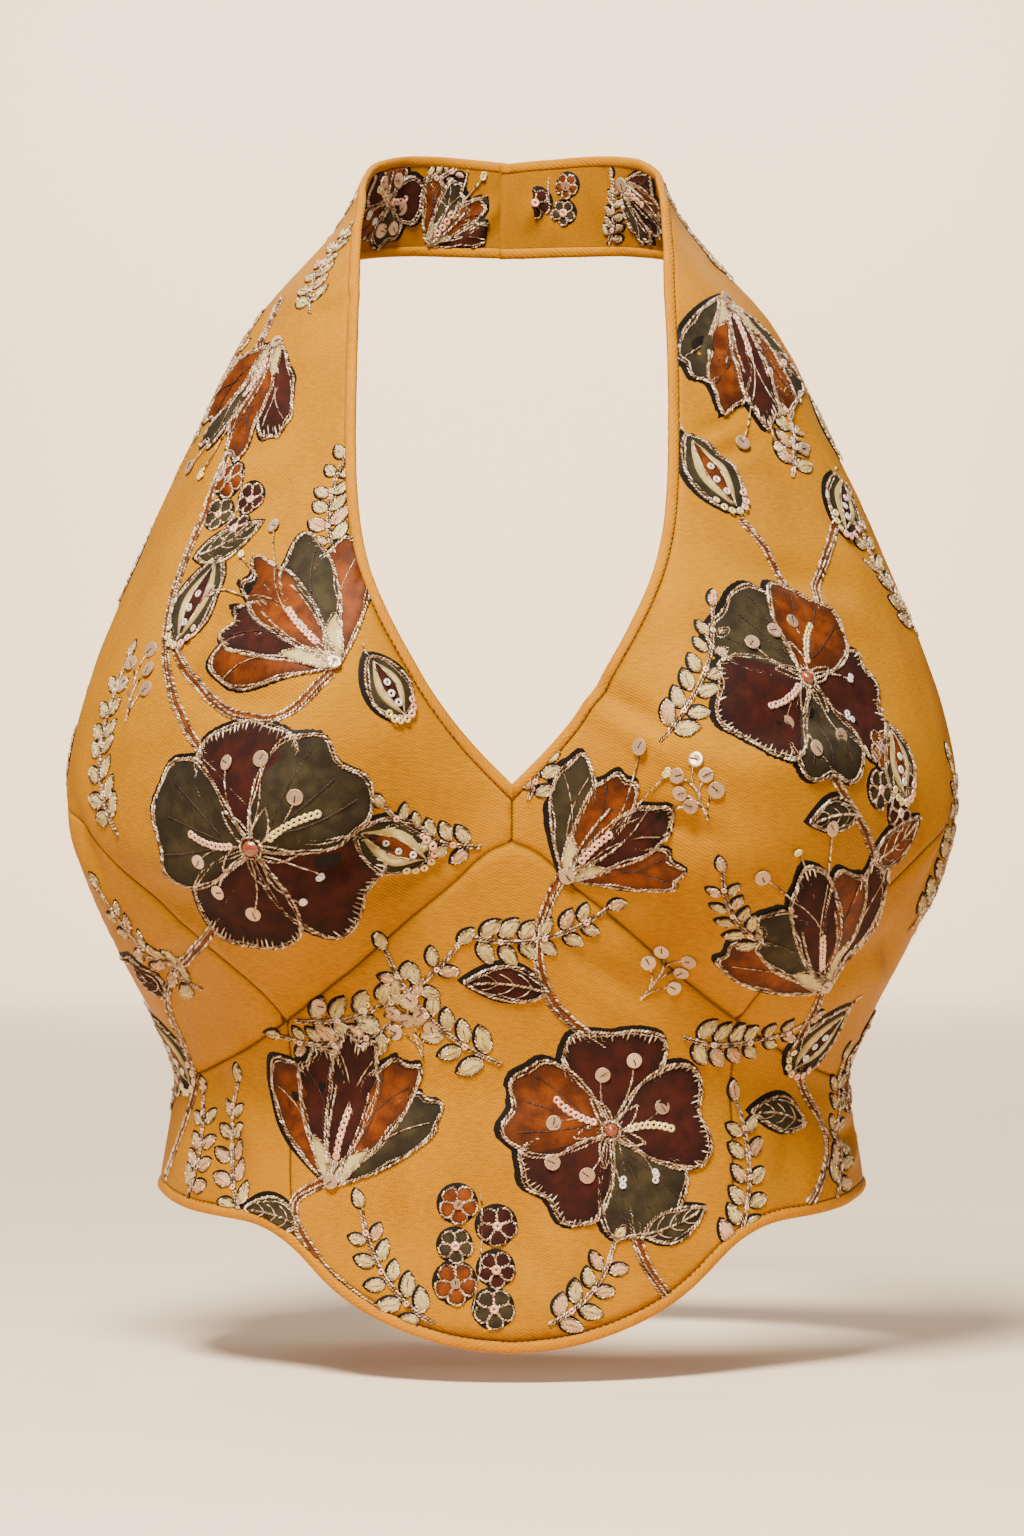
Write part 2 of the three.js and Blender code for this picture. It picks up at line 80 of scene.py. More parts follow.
# Sections of the form: height, outside half width, then the depths of the centre front, the widest place
# and the centre back
FORM = np.array([
    (24, 56, -44, 12, 67),
    (0, 63.5, -50, 11, 68),
    (-22, 79, -58, 9, 70),
    (-42, 97, -69, 6, 73),
    (-63, 111, -79, 2, 77),
    (-95, 126, -92, -6, 82),
    (-135, 143.5, -107, -17, 88),
    (-175, 160, -120, -30, 92),
    (-205, 170, -128, -38, 94),
    (-240, 176.4, -132, -46, 95),
    (-275, 169.7, -127, -45, 95),
    (-305, 157, -119, -34, 94),
    (-336, 141.7, -110, -17, 93),
    (-350, 136.5, -107, -10, 92),
    (-357, 135.3, -106, -8, 92),
    (-366, 136.4, -107, -6, 92),
    (-405, 142.5, -110, -4, 93),
    (-460, 147, -114, -4, 94),
], float)

# The cup's share of CUP_DEPTH by the height above the underbust seam
CUP_PROFILE = np.array([
    (0, 0), (16, 0.33), (34, 0.63), (55, 0.88), (82, 1), (108, 0.95), (136, 0.78), (165, 0.54), (195, 0.28),
    (225, 0.08), (255, 0),
])

# The largest soft folds: from (angle, height) to (angle, height), then depth and width
FOLDS = (
    (-8, -264, -30, -234, 1.3, 6),
    (-40, -60, -66, -84, 1, 7),
    (-48, -330, -66, -296, 1, 7),
    (14, -226, 44, -268, 1.2, 9),
    (40, -90, 70, -150, 1, 8),
    (56, -402, 82, -366, 1.2, 7),
)

# Creases finer than the solids have: from (angle, height) to (angle, height), then depth and width
CREASES = (
    (-5, -262, -25, -288, 3.2, 3.7), (-10, -246, -36, -292, 2.7, 4.8), (7, -194, 25, -228, 3.2, 4.4),
    (9, -240, 31, -264, 2.7, 4), (-35, -146, -52, -200, 3, 4.8), (58, -80, 79, -122, 3.1, 4.8),
    (-56, -58, -78, -102, 3, 4.8), (-31, -312, -7, -342, 3, 5.2), (-3, -398, 9, -444, 3, 4.8),
    (3, -294, 27, -332, 2.7, 4.8), (-48, -296, -74, -322, 3, 4.8), (60, -292, 84, -318, 3, 4.8),
    (18, -222, 64, -204, 3.1, 8), (30, -150, 66, -166, 2.5, 7), (-20, -214, -56, -196, 2.8, 8),
    (-28, -300, -72, -270, 2.8, 9), (32, -322, 78, -296, 2.5, 8), (-34, -120, -64, -138, 2.2, 7),
    (-44, -412, -62, -350, 2.5, 8), (46, -410, 58, -352, 2.5, 8), (-16, -444, -24, -352, 1.7, 8),
    (20, -438, 12, -400, 2, 7), (-84, -230, -66, -286, 2.5, 9), (86, -240, 70, -290, 2.5, 9),
    (-10, -268, -24, -252, 2.9, 3), (-12, -274, -34, -262, 2.2, 4.6), (-20, -236, -40, -222, 1.6, 5.8),
    (-36, -42, -52, -58, 2.2, 3.4), (-38, -72, -58, -84, 1.8, 3.9), (-36, -96, -60, -110, 1.6, 5.2),
    (-70, -300, -88, -322, 1.8, 4.6), (-52, -345, -70, -362, 1.6, 5.8), (-96, -330, -122, -352, 2.2, 4.6),
    (8, -250, 30, -268, 1.8, 5.8), (16, -200, 40, -232, 2.5, 6.9), (22, -176, 46, -200, 1.8, 5.8),
    (30, -104, 48, -92, 1.8, 3), (31, -112, 50, -104, 1.6, 3.2), (34, -60, 54, -70, 2.2, 3.4),
    (56, -128, 80, -160, 2.2, 5.8), (60, -368, 84, -384, 2.5, 4.6), (64, -388, 88, -372, 1.8, 3.9),
    (74, -344, 92, -362, 1.6, 4.6), (98, -336, 124, -318, 2.2, 4.6), (4, -300, 14, -330, 1.3, 6.9),
    (-6, -380, 4, -420, 1.3, 8), (120, -396, 140, -350, 2.2, 6.9), (150, -318, 168, -372, 2.5, 6.9),
    (-126, -392, -142, -346, 2.2, 6.9), (-150, -316, -166, -362, 2.5, 6.9), (168, 12, 176, -12, 2.2, 3),
    (-166, -14, -176, 10, 2.2, 3), (128, 10, 140, -14, 1.6, 4.6), (-120, 8, -134, -16, 1.6, 4.6),
)

# Patches of short even puckers: centre (angle, height), reach, pitch, the way they run in degrees, and depth
PUCKERS = (
    (4, -444, 26, 5.2, 88, 0.24), (-9, -438, 20, 4.6, 80, 0.18), (30, -98, 16, 4.2, 32, 0.3),
    (-30, -62, 14, 4.6, 150, 0.24), (172, 0, 22, 6.5, 96, 0.38), (-172, 0, 22, 5.5, 80, 0.33),
    (0, -250, 14, 4.4, 60, 0.21), (96, -300, 26, 6.5, 20, 0.27), (-96, -300, 26, 6.5, 160, 0.27),
    (178, -352, 34, 7, 90, 0.38), (-178, -352, 34, 6.4, 90, 0.38),
)

# Where seams and edges meet
PRINCESS_TOP = (106, -238)
PRINCESS_FOOT = (37.3, -330.5)
PRINCESS_HEM = (37.3, -417)
SIDE_TOP = (118.5, -288)
SIDE_WAIST = (98, -357)
SIDE_HEM = (97, -400)

# Finished edges and seams as (angle, height), on one side
NECKLINE = (
    (0, -238), (7, -215.5), (14, -186.5), (20, -159.5), (24, -136), (28, -104), (33, -65.5), (40, -39),
    (50, -22.5), (62, -9), (76, 3), (92, 11), (115, 18.5), (145, 22), (180, 19.5),
)
ARMHOLE = (
    (180, -19.5), (155, -19), (132, -20.5), (116, -25), (104, -33), (96, -44), (91, -59), (89.5, -78),
    (90, -106), (92, -140), (95.5, -172), (100, -205), PRINCESS_TOP, (112, -264), SIDE_TOP, (130, -298),
    (146, -303), (163, -305), (180, -306),
)
UNDERBUST = (
    (0, -260), (3, -264), (7, -274.5), (12, -286), (20, -303), (28, -317.5), PRINCESS_FOOT, (46, -340),
    (55, -347), (65, -352.5), (80, -356.5), SIDE_WAIST,
)
HEM = (
    (0, -457), (8, -455), (15.5, -450), (23.5, -441.5), (30, -431), PRINCESS_HEM, (44, -410.5), (52, -408.3),
    (66, -406), (80, -402.5), SIDE_HEM, (120, -399), (150, -399), (180, -399),
)
BUST_PRINCESS = (
    PRINCESS_FOOT, (41, -316), (48, -300), (54, -289), (60, -278.5), (67, -266), (76, -254), (90, -244),
    PRINCESS_TOP,
)
MIDRIFF_PRINCESS = (PRINCESS_HEM, (38.2, -392), (38.9, -368), (38.9, -350), PRINCESS_FOOT)
BUST_SIDE_SEAM = (SIDE_WAIST, (102, -338), (110, -312), SIDE_TOP)
MIDRIFF_SIDE_SEAM = (SIDE_HEM, (97.5, -379), SIDE_WAIST)

# Each step of the solids' grids is divided by FINER
FINER = 5
STEPS = {
    "centre_seam": 2 * FINER, "neckline": 32 * FINER, "princess": 8 * FINER, "armhole": 26 * FINER,
    "half_midriff": 13 * FINER, "side": 9 * FINER, "midriff": 7 * FINER, "back": 11 * FINER,
}


class Spline:
    """A natural cubic spline, carried on straight past its ends."""

    def __init__(self, at, value):
        self.at = np.asarray(at, float)
        self.value = np.asarray(value, float)
        gap = np.diff(self.at)
        slope = np.diff(self.value) / gap
        system = np.eye(len(self.at))
        wanted = np.zeros(len(self.at))
        for i in range(1, len(self.at) - 1):
            system[i, i - 1 : i + 2] = gap[i - 1], 2 * (gap[i - 1] + gap[i]), gap[i]
            wanted[i] = 6 * (slope[i] - slope[i - 1])
        self.bend = np.linalg.solve(system, wanted)
        self.first_slope = slope[0] - gap[0] * self.bend[1] / 6
        self.last_slope = slope[-1] + gap[-1] * self.bend[-2] / 6

    def __call__(self, t):
        t = np.asarray(t, float)
        within = np.clip(t, self.at[0], self.at[-1])
        i = np.clip(np.searchsorted(self.at, within, side="right") - 1, 0, len(self.at) - 2)
        span = self.at[i + 1] - self.at[i]
        b = (within - self.at[i]) / span
        a = 1 - b
        bulge = ((a**3 - a) * self.bend[i] + (b**3 - b) * self.bend[i + 1]) * span**2 / 6
        past = (t - within) * np.where(t < self.at[0], self.first_slope, self.last_slope)
        return a * self.value[i] + b * self.value[i + 1] + bulge + past


HALF_WIDTH, FRONT, WIDEST, BACK = (Spline(-FORM[:, 0], FORM[:, k]) for k in range(1, 5))
UNDERBUST_HEIGHT = Spline(*np.transpose(UNDERBUST))
CUP_SHARE = Spline(*CUP_PROFILE.T)


def smooth(t):
    t = np.clip(t, 0, 1)
    return t * t * (3 - 2 * t)


def cup_forward(angle, height):
    """How far the cup stands forward of the form."""
    above = height - UNDERBUST_HEIGHT(angle)
    forward = CUP_DEPTH * CUP_SHARE(above) * np.sin(math.pi * np.sin(np.radians(angle))) ** 2
    return np.where((angle < 90) & (above > 0) & (above < CUP_PROFILE[-1, 0]), forward, 0)


def along_and_off(row, angle, height):
    """How far along a fold each place is, as a share, and how far off it in millimetres."""
    across = np.radians(angle) * HALF_WIDTH(-height)
    reach = HALF_WIDTH(-height) * math.pi / 180
    from_across = row[0] * reach
    run = row[2] * reach - from_across, row[3] - row[1]
    length = np.hypot(*run)
    along = ((across - from_across) * run[0] + (height - row[1]) * run[1]) / length**2
    off = ((across - from_across) * run[1] - (height - row[1]) * run[0]) / length
    return along, off


def fold_depth(angle, height):
    """How deep the largest folds are, which the solids have too."""
    depth = np.zeros_like(angle)
    for row in FOLDS:
        along, off = along_and_off(row, angle, height)
        trough = row[4] * np.sin(math.pi * np.clip(along, 0, 1)) ** 2
        depth += np.where((along > 0) & (along < 1), trough * np.exp(-((off / row[5]) ** 2)), 0)
    return depth


RIDGE_SHARE = 0.55  # of a crease's depth, for the low ridge beside it
RIDGE_OFF = 1.7  # crease widths from the crease to its ridge
UNEVEN = 0.45  # how deep the cloth's slow waves are
UNEVEN_FINE = 0.13


def crease_depth(angle, height):
    """The finer creases, each with a low ridge beside it, the puckers, and a slight unevenness all over."""
    depth = np.zeros_like(angle)
    for row in CREASES:
        along, off = along_and_off(row, angle, height)
        widths = off / row[5]
        shape = np.exp(-(widths**2)) - RIDGE_SHARE * np.exp(-((widths - RIDGE_OFF) ** 2))
        depth += np.where((along > 0) & (along < 1), row[4] * np.sin(math.pi * along) ** 2 * shape, 0)
    for at_angle, at_height, reach, pitch, way, deep in PUCKERS:
        across = np.radians(angle - at_angle) * HALF_WIDTH(-height)
        up = height - at_height
        run = math.cos(math.radians(way)) * up - math.sin(math.radians(way)) * across
        wander = 0.9 * np.sin(across / 9 + up / 7)
        depth += deep * np.exp(-(across**2 + up**2) / reach**2) * np.sin(2 * math.pi * run / pitch + wander)
    depth += UNEVEN * np.sin(height / 17 + angle / 9) * np.sin(angle / 7 - height / 31 + 1.3)
    depth += UNEVEN_FINE * np.sin(height / 6.1 - angle / 2.9) * np.sin(angle / 5.3 + height / 13)
    return depth


def outside(angle, height):
    """Points of the form's outside."""
    around = np.abs(angle)
    turn = np.radians(around)
    widest = WIDEST(-height)
    reach = np.where(around <= 90, widest - FRONT(-height), BACK(-height) - widest)
    x = HALF_WIDTH(-height) * np.sin(turn) * np.where(angle < 0, -1, 1)
    y = widest - reach * np.cos(turn) - cup_forward(around, height) + fold_depth(angle, height)
    return np.stack([x, y - NAPE_DEPTH, np.broadcast_to(height, x.shape)], axis=-1)


def dots(a, b):
    return np.sum(a * b, axis=-1)


def unit(vectors):
    return vectors / np.maximum(np.linalg.norm(vectors, axis=-1, keepdims=True), 1e-9)


def directions(angle, height):
    """Along the cloth for one degree and for one millimetre of height, and the direction out of it."""
    turned = outside(angle + 0.5, height) - outside(angle - 0.5, height)
    raised = outside(angle, height + 0.5) - outside(angle, height - 0.5)
    return turned, raised, unit(np.cross(turned, raised))


def lap_inset(angle, height):
    """How far the wearer's left end stands in at a lap."""
    from_centre = HALF_WIDTH(-height) * np.sin(np.radians(angle))
    inset = LAP_STEP * smooth((LAP_SLOPE[1] - from_centre) / (LAP_SLOPE[1] - LAP_SLOPE[0]))
    return np.where(angle > 90, inset, 0)


# The form is worked out once on an even grid of places, and read between them from then on.
GRID_ANGLES = np.arange(-188, 188.1, 0.5)
GRID_HEIGHTS = np.arange(-466, 30, 1.0)


def tabled(values):
    """A function that reads values kept on the grid at any places."""

    def read(places):
        across = (places[..., 0] - GRID_ANGLES[0]) / (GRID_ANGLES[1] - GRID_ANGLES[0])
        up = (places[..., 1] - GRID_HEIGHTS[0]) / (GRID_HEIGHTS[1] - GRID_HEIGHTS[0])
        i = np.clip(across.astype(int), 0, len(GRID_ANGLES) - 2)
        j = np.clip(up.astype(int), 0, len(GRID_HEIGHTS) - 2)
        a = np.clip(across - i, 0, 1)[..., None]
        b = np.clip(up - j, 0, 1)[..., None]
        low = values[i, j] * (1 - a) + values[i + 1, j] * a
        high = values[i, j + 1] * (1 - a) + values[i + 1, j + 1] * a
        return low * (1 - b) + high * b

    return read


def form_tables():
    """Readers of the form's slopes, and of its points, the directions out of it and the cloth's inset."""
    angle, height = np.meshgrid(GRID_ANGLES, GRID_HEIGHTS, indexing="ij")
    turned, raised, out = directions(angle, height)
    inset = lap_inset(angle, height) + crease_depth(angle, height)
    surface = np.concatenate([outside(angle, height), out, inset[..., None]], axis=-1)
    return tabled(np.concatenate([turned, raised], axis=-1)), tabled(surface)


slopes_at, surface_at = form_tables()


def cloth(places, lift=0.0, inner=False):
    """Points over the cloth and the directions out of it there, on its outside or its inside."""
    surface = surface_at(places)
    points, out, inset = surface[..., :3], unit(surface[..., 3:6]), surface[..., 6]
    if inner:
        return points - out * (inset + WALL + lift)[..., None], -out
    return points - out * (inset - lift)[..., None], out


NEAR_OUTLINE = 0.98  # of the half width, the furthest out that a place on the front is put


def front(x, height):
    """The place x to the wearer's left of the centre front as seen, or close to the outline."""
    share = min(max(x / float(HALF_WIDTH(-height)), -NEAR_OUTLINE), NEAR_OUTLINE)
    return math.degrees(math.asin(share)), height


# Runs of places along edges and seams


def lengths_along(points):
    """The length from the first point to each, walked along them."""
    return np.concatenate([[0], np.cumsum(np.linalg.norm(np.diff(points, axis=0), axis=1))])


def read_at(t, at, values):
    """Rows of values at the lengths t, where at is the length to each row."""
    return np.stack([np.interp(t, at, column) for column in values.T], axis=1)


def edge_line(table):
    """Divides a table's smooth line evenly between two of its rows, past the centre back to the lap."""
    rows = np.array(table, float)
    back = rows[:, 0] == 180
    rows[back, 0] += np.degrees(np.arcsin(LAP_HALF_WIDTH / HALF_WIDTH(-rows[back, 1])))
    at = lengths_along(outside(*rows.T))
    angle_at, height_at = Spline(at, rows[:, 0]), Spline(at, rows[:, 1])

    def between(start, end, steps):
        t = np.linspace(at[table.index(start)], at[table.index(end)], steps + 1)
        return np.stack([angle_at(t), height_at(t)], axis=1)

    return between


def whole_line(table, steps):
    return edge_line(table)(table[0], table[-1], steps)


def joined(*runs):
    return np.concatenate([runs[0], *(run[1:] for run in runs[1:])])


def beside(run, distance):
    """The places at a distance to the left of a run. An end on the centre front stays on it."""
    turned, raised, out = directions(run[:, 0], run[:, 1])
    step = np.roll(run, -1, axis=0) - np.roll(run, 1, axis=0)
    step[0], step[-1] = run[1] - run[0], run[-1] - run[-2]
    along = unit(turned * step[:, :1] + raised * step[:, 1:])
    across = unit(np.cross(out, along))
    moved = run + in_chart(across * distance, turned, raised)
    if run[0, 0] == 0:
        moved[0] = 0, run[0, 1] + np.sign(across[0, 2]) * distance / along[0, 0]
    return moved


def in_chart(step, turned, raised):
    """The change of angle and height that moves a point along the cloth by step."""
    tt, tr, rr = dots(turned, turned), dots(turned, raised), dots(raised, raised)
    st, sr = dots(step, turned), dots(step, raised)
    det = tt * rr - tr * tr
    return np.stack([(st * rr - sr * tr) / det, (sr * tt - st * tr) / det], axis=-1)


def ended_at(run, place):
    """Bends a seam so that it ends at a place."""
    share = np.linspace(0, 1, len(run)) ** 3
    return run + (np.asarray(place) - run[-1]) * share[:, None]


def straight(start, end, steps):
    return np.linspace(start, end, steps + 1)


def patch_grid(bottom, top, left, right):
    """A grid of places that fills the space between four runs."""
    v = np.linspace(0, 1, len(left))[:, None, None]
    u = np.linspace(0, 1, len(bottom))[None, :, None]
    across = left[:, None] * (1 - u) + right[:, None] * u
    up = bottom[None] * (1 - v) + top[None] * v
    corners = (bottom[0] * (1 - u) + bottom[-1] * u) * (1 - v) + (top[0] * (1 - u) + top[-1] * u) * v
    return across + up - corners


def mirrored(run):
    """The same places on the wearer's right."""
    return run * np.array([-1, 1])


neck_line, armhole_line, hem_line = edge_line(NECKLINE), edge_line(ARMHOLE), edge_line(HEM)
underbust_line = edge_line(UNDERBUST)
NECK_EDGE = neck_line(NECKLINE[0], NECKLINE[-1], STEPS["neckline"])
ARMHOLE_EDGE = joined(
    armhole_line(ARMHOLE[0], PRINCESS_TOP, STEPS["armhole"]),
    armhole_line(PRINCESS_TOP, SIDE_TOP, STEPS["side"]),
    armhole_line(SIDE_TOP, ARMHOLE[-1], STEPS["back"]),
)
HEM_EDGE = joined(
    hem_line(HEM[0], PRINCESS_HEM, STEPS["half_midriff"]),
    hem_line(PRINCESS_HEM, SIDE_HEM, STEPS["side"]),
    hem_line(SIDE_HEM, HEM[-1], STEPS["back"]),
)
NECK_STITCH = beside(NECK_EDGE, -BINDING_WIDTH)
ARMHOLE_STITCH = beside(ARMHOLE_EDGE, -BINDING_WIDTH)
HEM_STITCH = beside(HEM_EDGE, BINDING_WIDTH)


def panel_grids():
    """The grid of places of each panel on the wearer's left, and of the centre midriff."""
    to_princess = STEPS["armhole"]
    to_side = to_princess + STEPS["side"]
    hem_princess = STEPS["half_midriff"]
    hem_side = hem_princess + STEPS["side"]
    underbust_centre = underbust_line(UNDERBUST[0], PRINCESS_FOOT, STEPS["half_midriff"])
    underbust_side = underbust_line(PRINCESS_FOOT, SIDE_WAIST, STEPS["side"])
    princess = ended_at(whole_line(BUST_PRINCESS, STEPS["princess"]), ARMHOLE_STITCH[to_princess])
    side_seam = ended_at(whole_line(BUST_SIDE_SEAM, STEPS["princess"]), ARMHOLE_STITCH[to_side])
    midriff_princess = whole_line(MIDRIFF_PRINCESS, STEPS["midriff"])[::-1]
    midriff_princess = ended_at(midriff_princess, HEM_STITCH[hem_princess])[::-1]
    midriff_side = whole_line(MIDRIFF_SIDE_SEAM, STEPS["midriff"])[::-1]
    midriff_side = ended_at(midriff_side, HEM_STITCH[hem_side])[::-1]
    centre_seam = straight(underbust_centre[0], NECK_STITCH[0], STEPS["centre_seam"])
    neckline_up = joined(centre_seam, NECK_STITCH)
    armhole_up = joined(princess, ARMHOLE_STITCH[to_princess::-1])
    band_end = straight(neckline_up[-1], armhole_up[-1], STEPS["half_midriff"])
    back_hem, back_top = HEM_STITCH[hem_side:], ARMHOLE_STITCH[to_side:]
    back_end = straight(back_hem[-1], back_top[-1], STEPS["midriff"] + STEPS["princess"])
    centre_front = straight(HEM_STITCH[0], underbust_centre[0], STEPS["midriff"])
    front_hem = HEM_STITCH[: hem_princess + 1]
    half_midriff = patch_grid(front_hem, underbust_centre, centre_front, midriff_princess)
    whole_midriff = np.concatenate([mirrored(half_midriff)[:, :0:-1], half_midriff], axis=1)
    side_top = ARMHOLE_STITCH[to_princess : to_side + 1]
    return {
        "bust": patch_grid(underbust_centre, band_end, neckline_up, armhole_up),
        "bust_side": patch_grid(underbust_side, side_top, princess, side_seam),
        "midriff_side": patch_grid(
            HEM_STITCH[hem_princess : hem_side + 1], underbust_side, midriff_princess, midriff_side
        ),
        "back": patch_grid(back_hem, back_top, joined(midriff_side, side_seam), back_end),
        "midriff_centre": whole_midriff,
    }


BACK_LIMIT = 171  # work on the cloth stops here, clear of the laps
AROUND_MM = 2.4  # about the length of one degree


def room_table():
    """A reader of how far each place is inside the bindings, in millimetres, and below zero outside them."""
    side = GRID_ANGLES >= 0
    around, height = np.meshgrid(GRID_ANGLES[side], GRID_HEIGHTS, indexing="ij")
    below_neck = height < np.interp(around, *NECK_STITCH[::FINER].T)
    above_hem = height > np.interp(around, *HEM_STITCH[::FINER].T)
    in_armhole = np.zeros(around.shape, bool)
    outline = ARMHOLE_STITCH[::FINER]
    for (x0, y0), (x1, y1) in zip(outline, np.roll(outline, -1, axis=0)):
        if y0 != y1:
            crossing = (x1 - x0) * (height - y0) / (y1 - y0) + x0
            in_armhole ^= ((y0 > height) != (y1 > height)) & (around < crossing)
    room = np.abs(BACK_LIMIT - around) * AROUND_MM
    for edge in (NECK_STITCH, HEM_STITCH, ARMHOLE_STITCH):
        for (x0, y0), (x1, y1) in zip(edge[::FINER], edge[FINER::FINER]):
            run = (x1 - x0) * AROUND_MM, y1 - y0
            gone = (around - x0) * AROUND_MM, height - y0
            share = np.clip((gone[0] * run[0] + gone[1] * run[1]) / (run[0] ** 2 + run[1] ** 2), 0, 1)
            room = np.minimum(room, np.hypot(gone[0] - run[0] * share, gone[1] - run[1] * share))
    room = np.where(below_neck & above_hem & ~in_armhole & (around < BACK_LIMIT), room, -room)
    return tabled(np.concatenate([room[:0:-1], room])[..., None])


room_at = room_table()


def on_cloth(places):
    """Whether each place lies on a panel, inside its bindings."""
    return room_at(places)[..., 0] > 0


# Meshes


def add_mesh(name, points, faces, materials, face_materials=None, attributes=None):
    """An object of smooth faces. points are in millimetres, and every face has as many corners."""
    points, faces = np.asarray(points, float), np.asarray(faces, int)
    mesh = bpy.data.meshes.new(name)
    mesh.vertices.add(len(points))
    mesh.vertices.foreach_set("co", (points * MM).ravel())
    mesh.loops.add(faces.size)
    mesh.loops.foreach_set("vertex_index", faces.ravel())
    mesh.polygons.add(len(faces))
    mesh.polygons.foreach_set("loop_start", np.arange(0, faces.size, faces.shape[1]))
    mesh.polygons.foreach_set("use_smooth", np.ones(len(faces), bool))
    if face_materials is not None:
        mesh.polygons.foreach_set("material_index", np.asarray(face_materials, int))
    for attribute, values in (attributes or {}).items():
        values = np.asarray(values, float)
        kind = "FLOAT_VECTOR" if values.ndim == 2 else "FLOAT"
        layer = mesh.attributes.new(attribute, kind, "POINT")
        layer.data.foreach_set("vector" if values.ndim == 2 else "value", values.ravel())
    mesh.update(calc_edges=True)
    mesh.validate()
    for material in materials:
        mesh.materials.append(material)
    made = bpy.data.objects.new(name, mesh)
    bpy.context.collection.objects.link(made)
    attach(made, "root")
    return made


def grid_faces(rows, columns, closed=False):
    """The four-cornered cells of a grid, closed round its columns if asked."""
    j, i = np.mgrid[0 : rows - 1, 0 : columns if closed else columns - 1]
    right = (i + 1) % columns
    cells = [j * columns + i, j * columns + right, (j + 1) * columns + right, (j + 1) * columns + i]
    return np.stack(cells, axis=-1).reshape(-1, 4)


def split(quads):
    """Two triangles for each four-cornered face."""
    return np.concatenate([quads[:, [0, 2, 1]], quads[:, [0, 3, 2]]])


WEAVE_RADIUS = 150  # turns an angle into a length along the weave


def weave_of(places):
    around = np.radians(places[..., 0]) * WEAVE_RADIUS
    return np.stack([around, places[..., 1], np.zeros_like(around)], axis=-1)


SEAM_DIP = (0.55, 0.06, 0.01)  # how far a panel turns down at its border and at the next places in


def seam_dip(rows, columns):
    j, i = np.mgrid[0:rows, 0:columns]
    from_border = np.minimum(np.minimum(j, rows - 1 - j), np.minimum(i, columns - 1 - i))
    return np.select([from_border == k for k in range(len(SEAM_DIP))], SEAM_DIP, 0)


def shell(name, grid, materials):
    """A panel: the cloth's outside, its inside and the rim between them."""
    rows, columns = grid.shape[:2]
    dip = seam_dip(rows, columns)
    outer = cloth(grid, -dip)[0].reshape(-1, 3)
    inner = cloth(grid, 0, inner=True)[0].reshape(-1, 3)
    count = len(outer)
    cells = grid_faces(rows, columns)
    border = np.concatenate([
        np.arange(columns - 1),
        np.arange(rows - 1) * columns + columns - 1,
        (rows - 1) * columns + np.arange(columns - 1, 0, -1),
        np.arange(rows - 1, 0, -1) * columns,
    ])
    following = np.roll(border, -1)
    rim = np.stack([border, border + count, following + count, following], axis=1)
    faces = np.concatenate([cells, cells[:, ::-1] + count, rim])
    face_materials = np.repeat([0, 1, 0], [len(cells), len(cells), len(rim)])
    # painted shade: marks the border of the panel, where the satin is darkened along the seam
    seam_shade = dip.reshape(-1) / SEAM_DIP[0]
    weave = weave_of(grid).reshape(-1, 3)
    made = add_mesh(
        name, np.concatenate([outer, inner]), faces, materials, face_materials,
        {"weave": np.concatenate([weave, weave]), "seam_shade": np.concatenate([seam_shade, np.zeros(count)])},
    )
    corners = outer[cells]
    diagonals = corners[:, 2] - corners[:, 0], corners[:, 3] - corners[:, 1]
    area = 0.5 * np.linalg.norm(np.cross(*diagonals), axis=1).sum()
    smooth_cloth = cloth(grid)[0]
    width = np.linalg.norm(np.diff(smooth_cloth, axis=1), axis=2).sum(axis=1).max()
    length = np.linalg.norm(np.diff(smooth_cloth, axis=0), axis=2).sum(axis=0).max()
    return made, (float(width) * MM, float(length) * MM), float(area) * MM * MM


BINDING_SIDES = 12
BINDING_WEAVE_STEP = 0.9


def bound(name, edge, seam, material):
    """A rolled binding between a finished edge and its stitches, slightly uneven as turned cloth is."""
    near, out = cloth(edge, -WALL / 2)
    far = cloth(seam, -WALL / 2)[0]
    middle, across = (near + far) / 2, (far - near) / 2
    turn = 2 * math.pi * np.arange(BINDING_SIDES) / BINDING_SIDES
    cos, sin = np.cos(turn), np.sin(turn)
    fuller = np.maximum(np.abs(cos), np.abs(sin)) ** -0.5
    at = lengths_along(middle)
    half = BINDING_THICKNESS / 2 * (1 + 0.05 * np.sin(at / 3.1) + 0.04 * np.sin(at / 1.7 + 2))
    rings = (
        middle[:, None]
        + across[:, None] * (cos * fuller)[None, :, None]
        + out[:, None] * half[:, None, None] * (sin * fuller)[None, :, None]
    )
    count = len(edge)
    points = np.concatenate([rings.reshape(-1, 3), middle[[0, -1]]])
    ring = np.arange(BINDING_SIDES)
    following = (ring + 1) % BINDING_SIDES
    first = np.stack([ring, np.full_like(ring, len(points) - 2), following], axis=1)
    last = np.stack([following, np.full_like(ring, len(points) - 1), ring], axis=1)
    last[:, [0, 2]] += (count - 1) * BINDING_SIDES
    faces = np.concatenate([split(grid_faces(count, BINDING_SIDES, closed=True)), first, last])
    weave = np.zeros((len(points), 3))
    weave[:-2, 0] = np.repeat(at, BINDING_SIDES)
    weave[:-2, 1] = np.tile(ring * BINDING_WEAVE_STEP, count)
    kept = {"weave": weave, "seam_shade": np.zeros(len(points))}
    return add_mesh(name, points, faces, [material], attributes=kept)


# Work laid on the cloth: stitches, discs and applied pieces are gathered by name and made into one mesh each

STITCHES, DISCS, APPLIED = {}, {}, {}
WALK_STEPS = 12


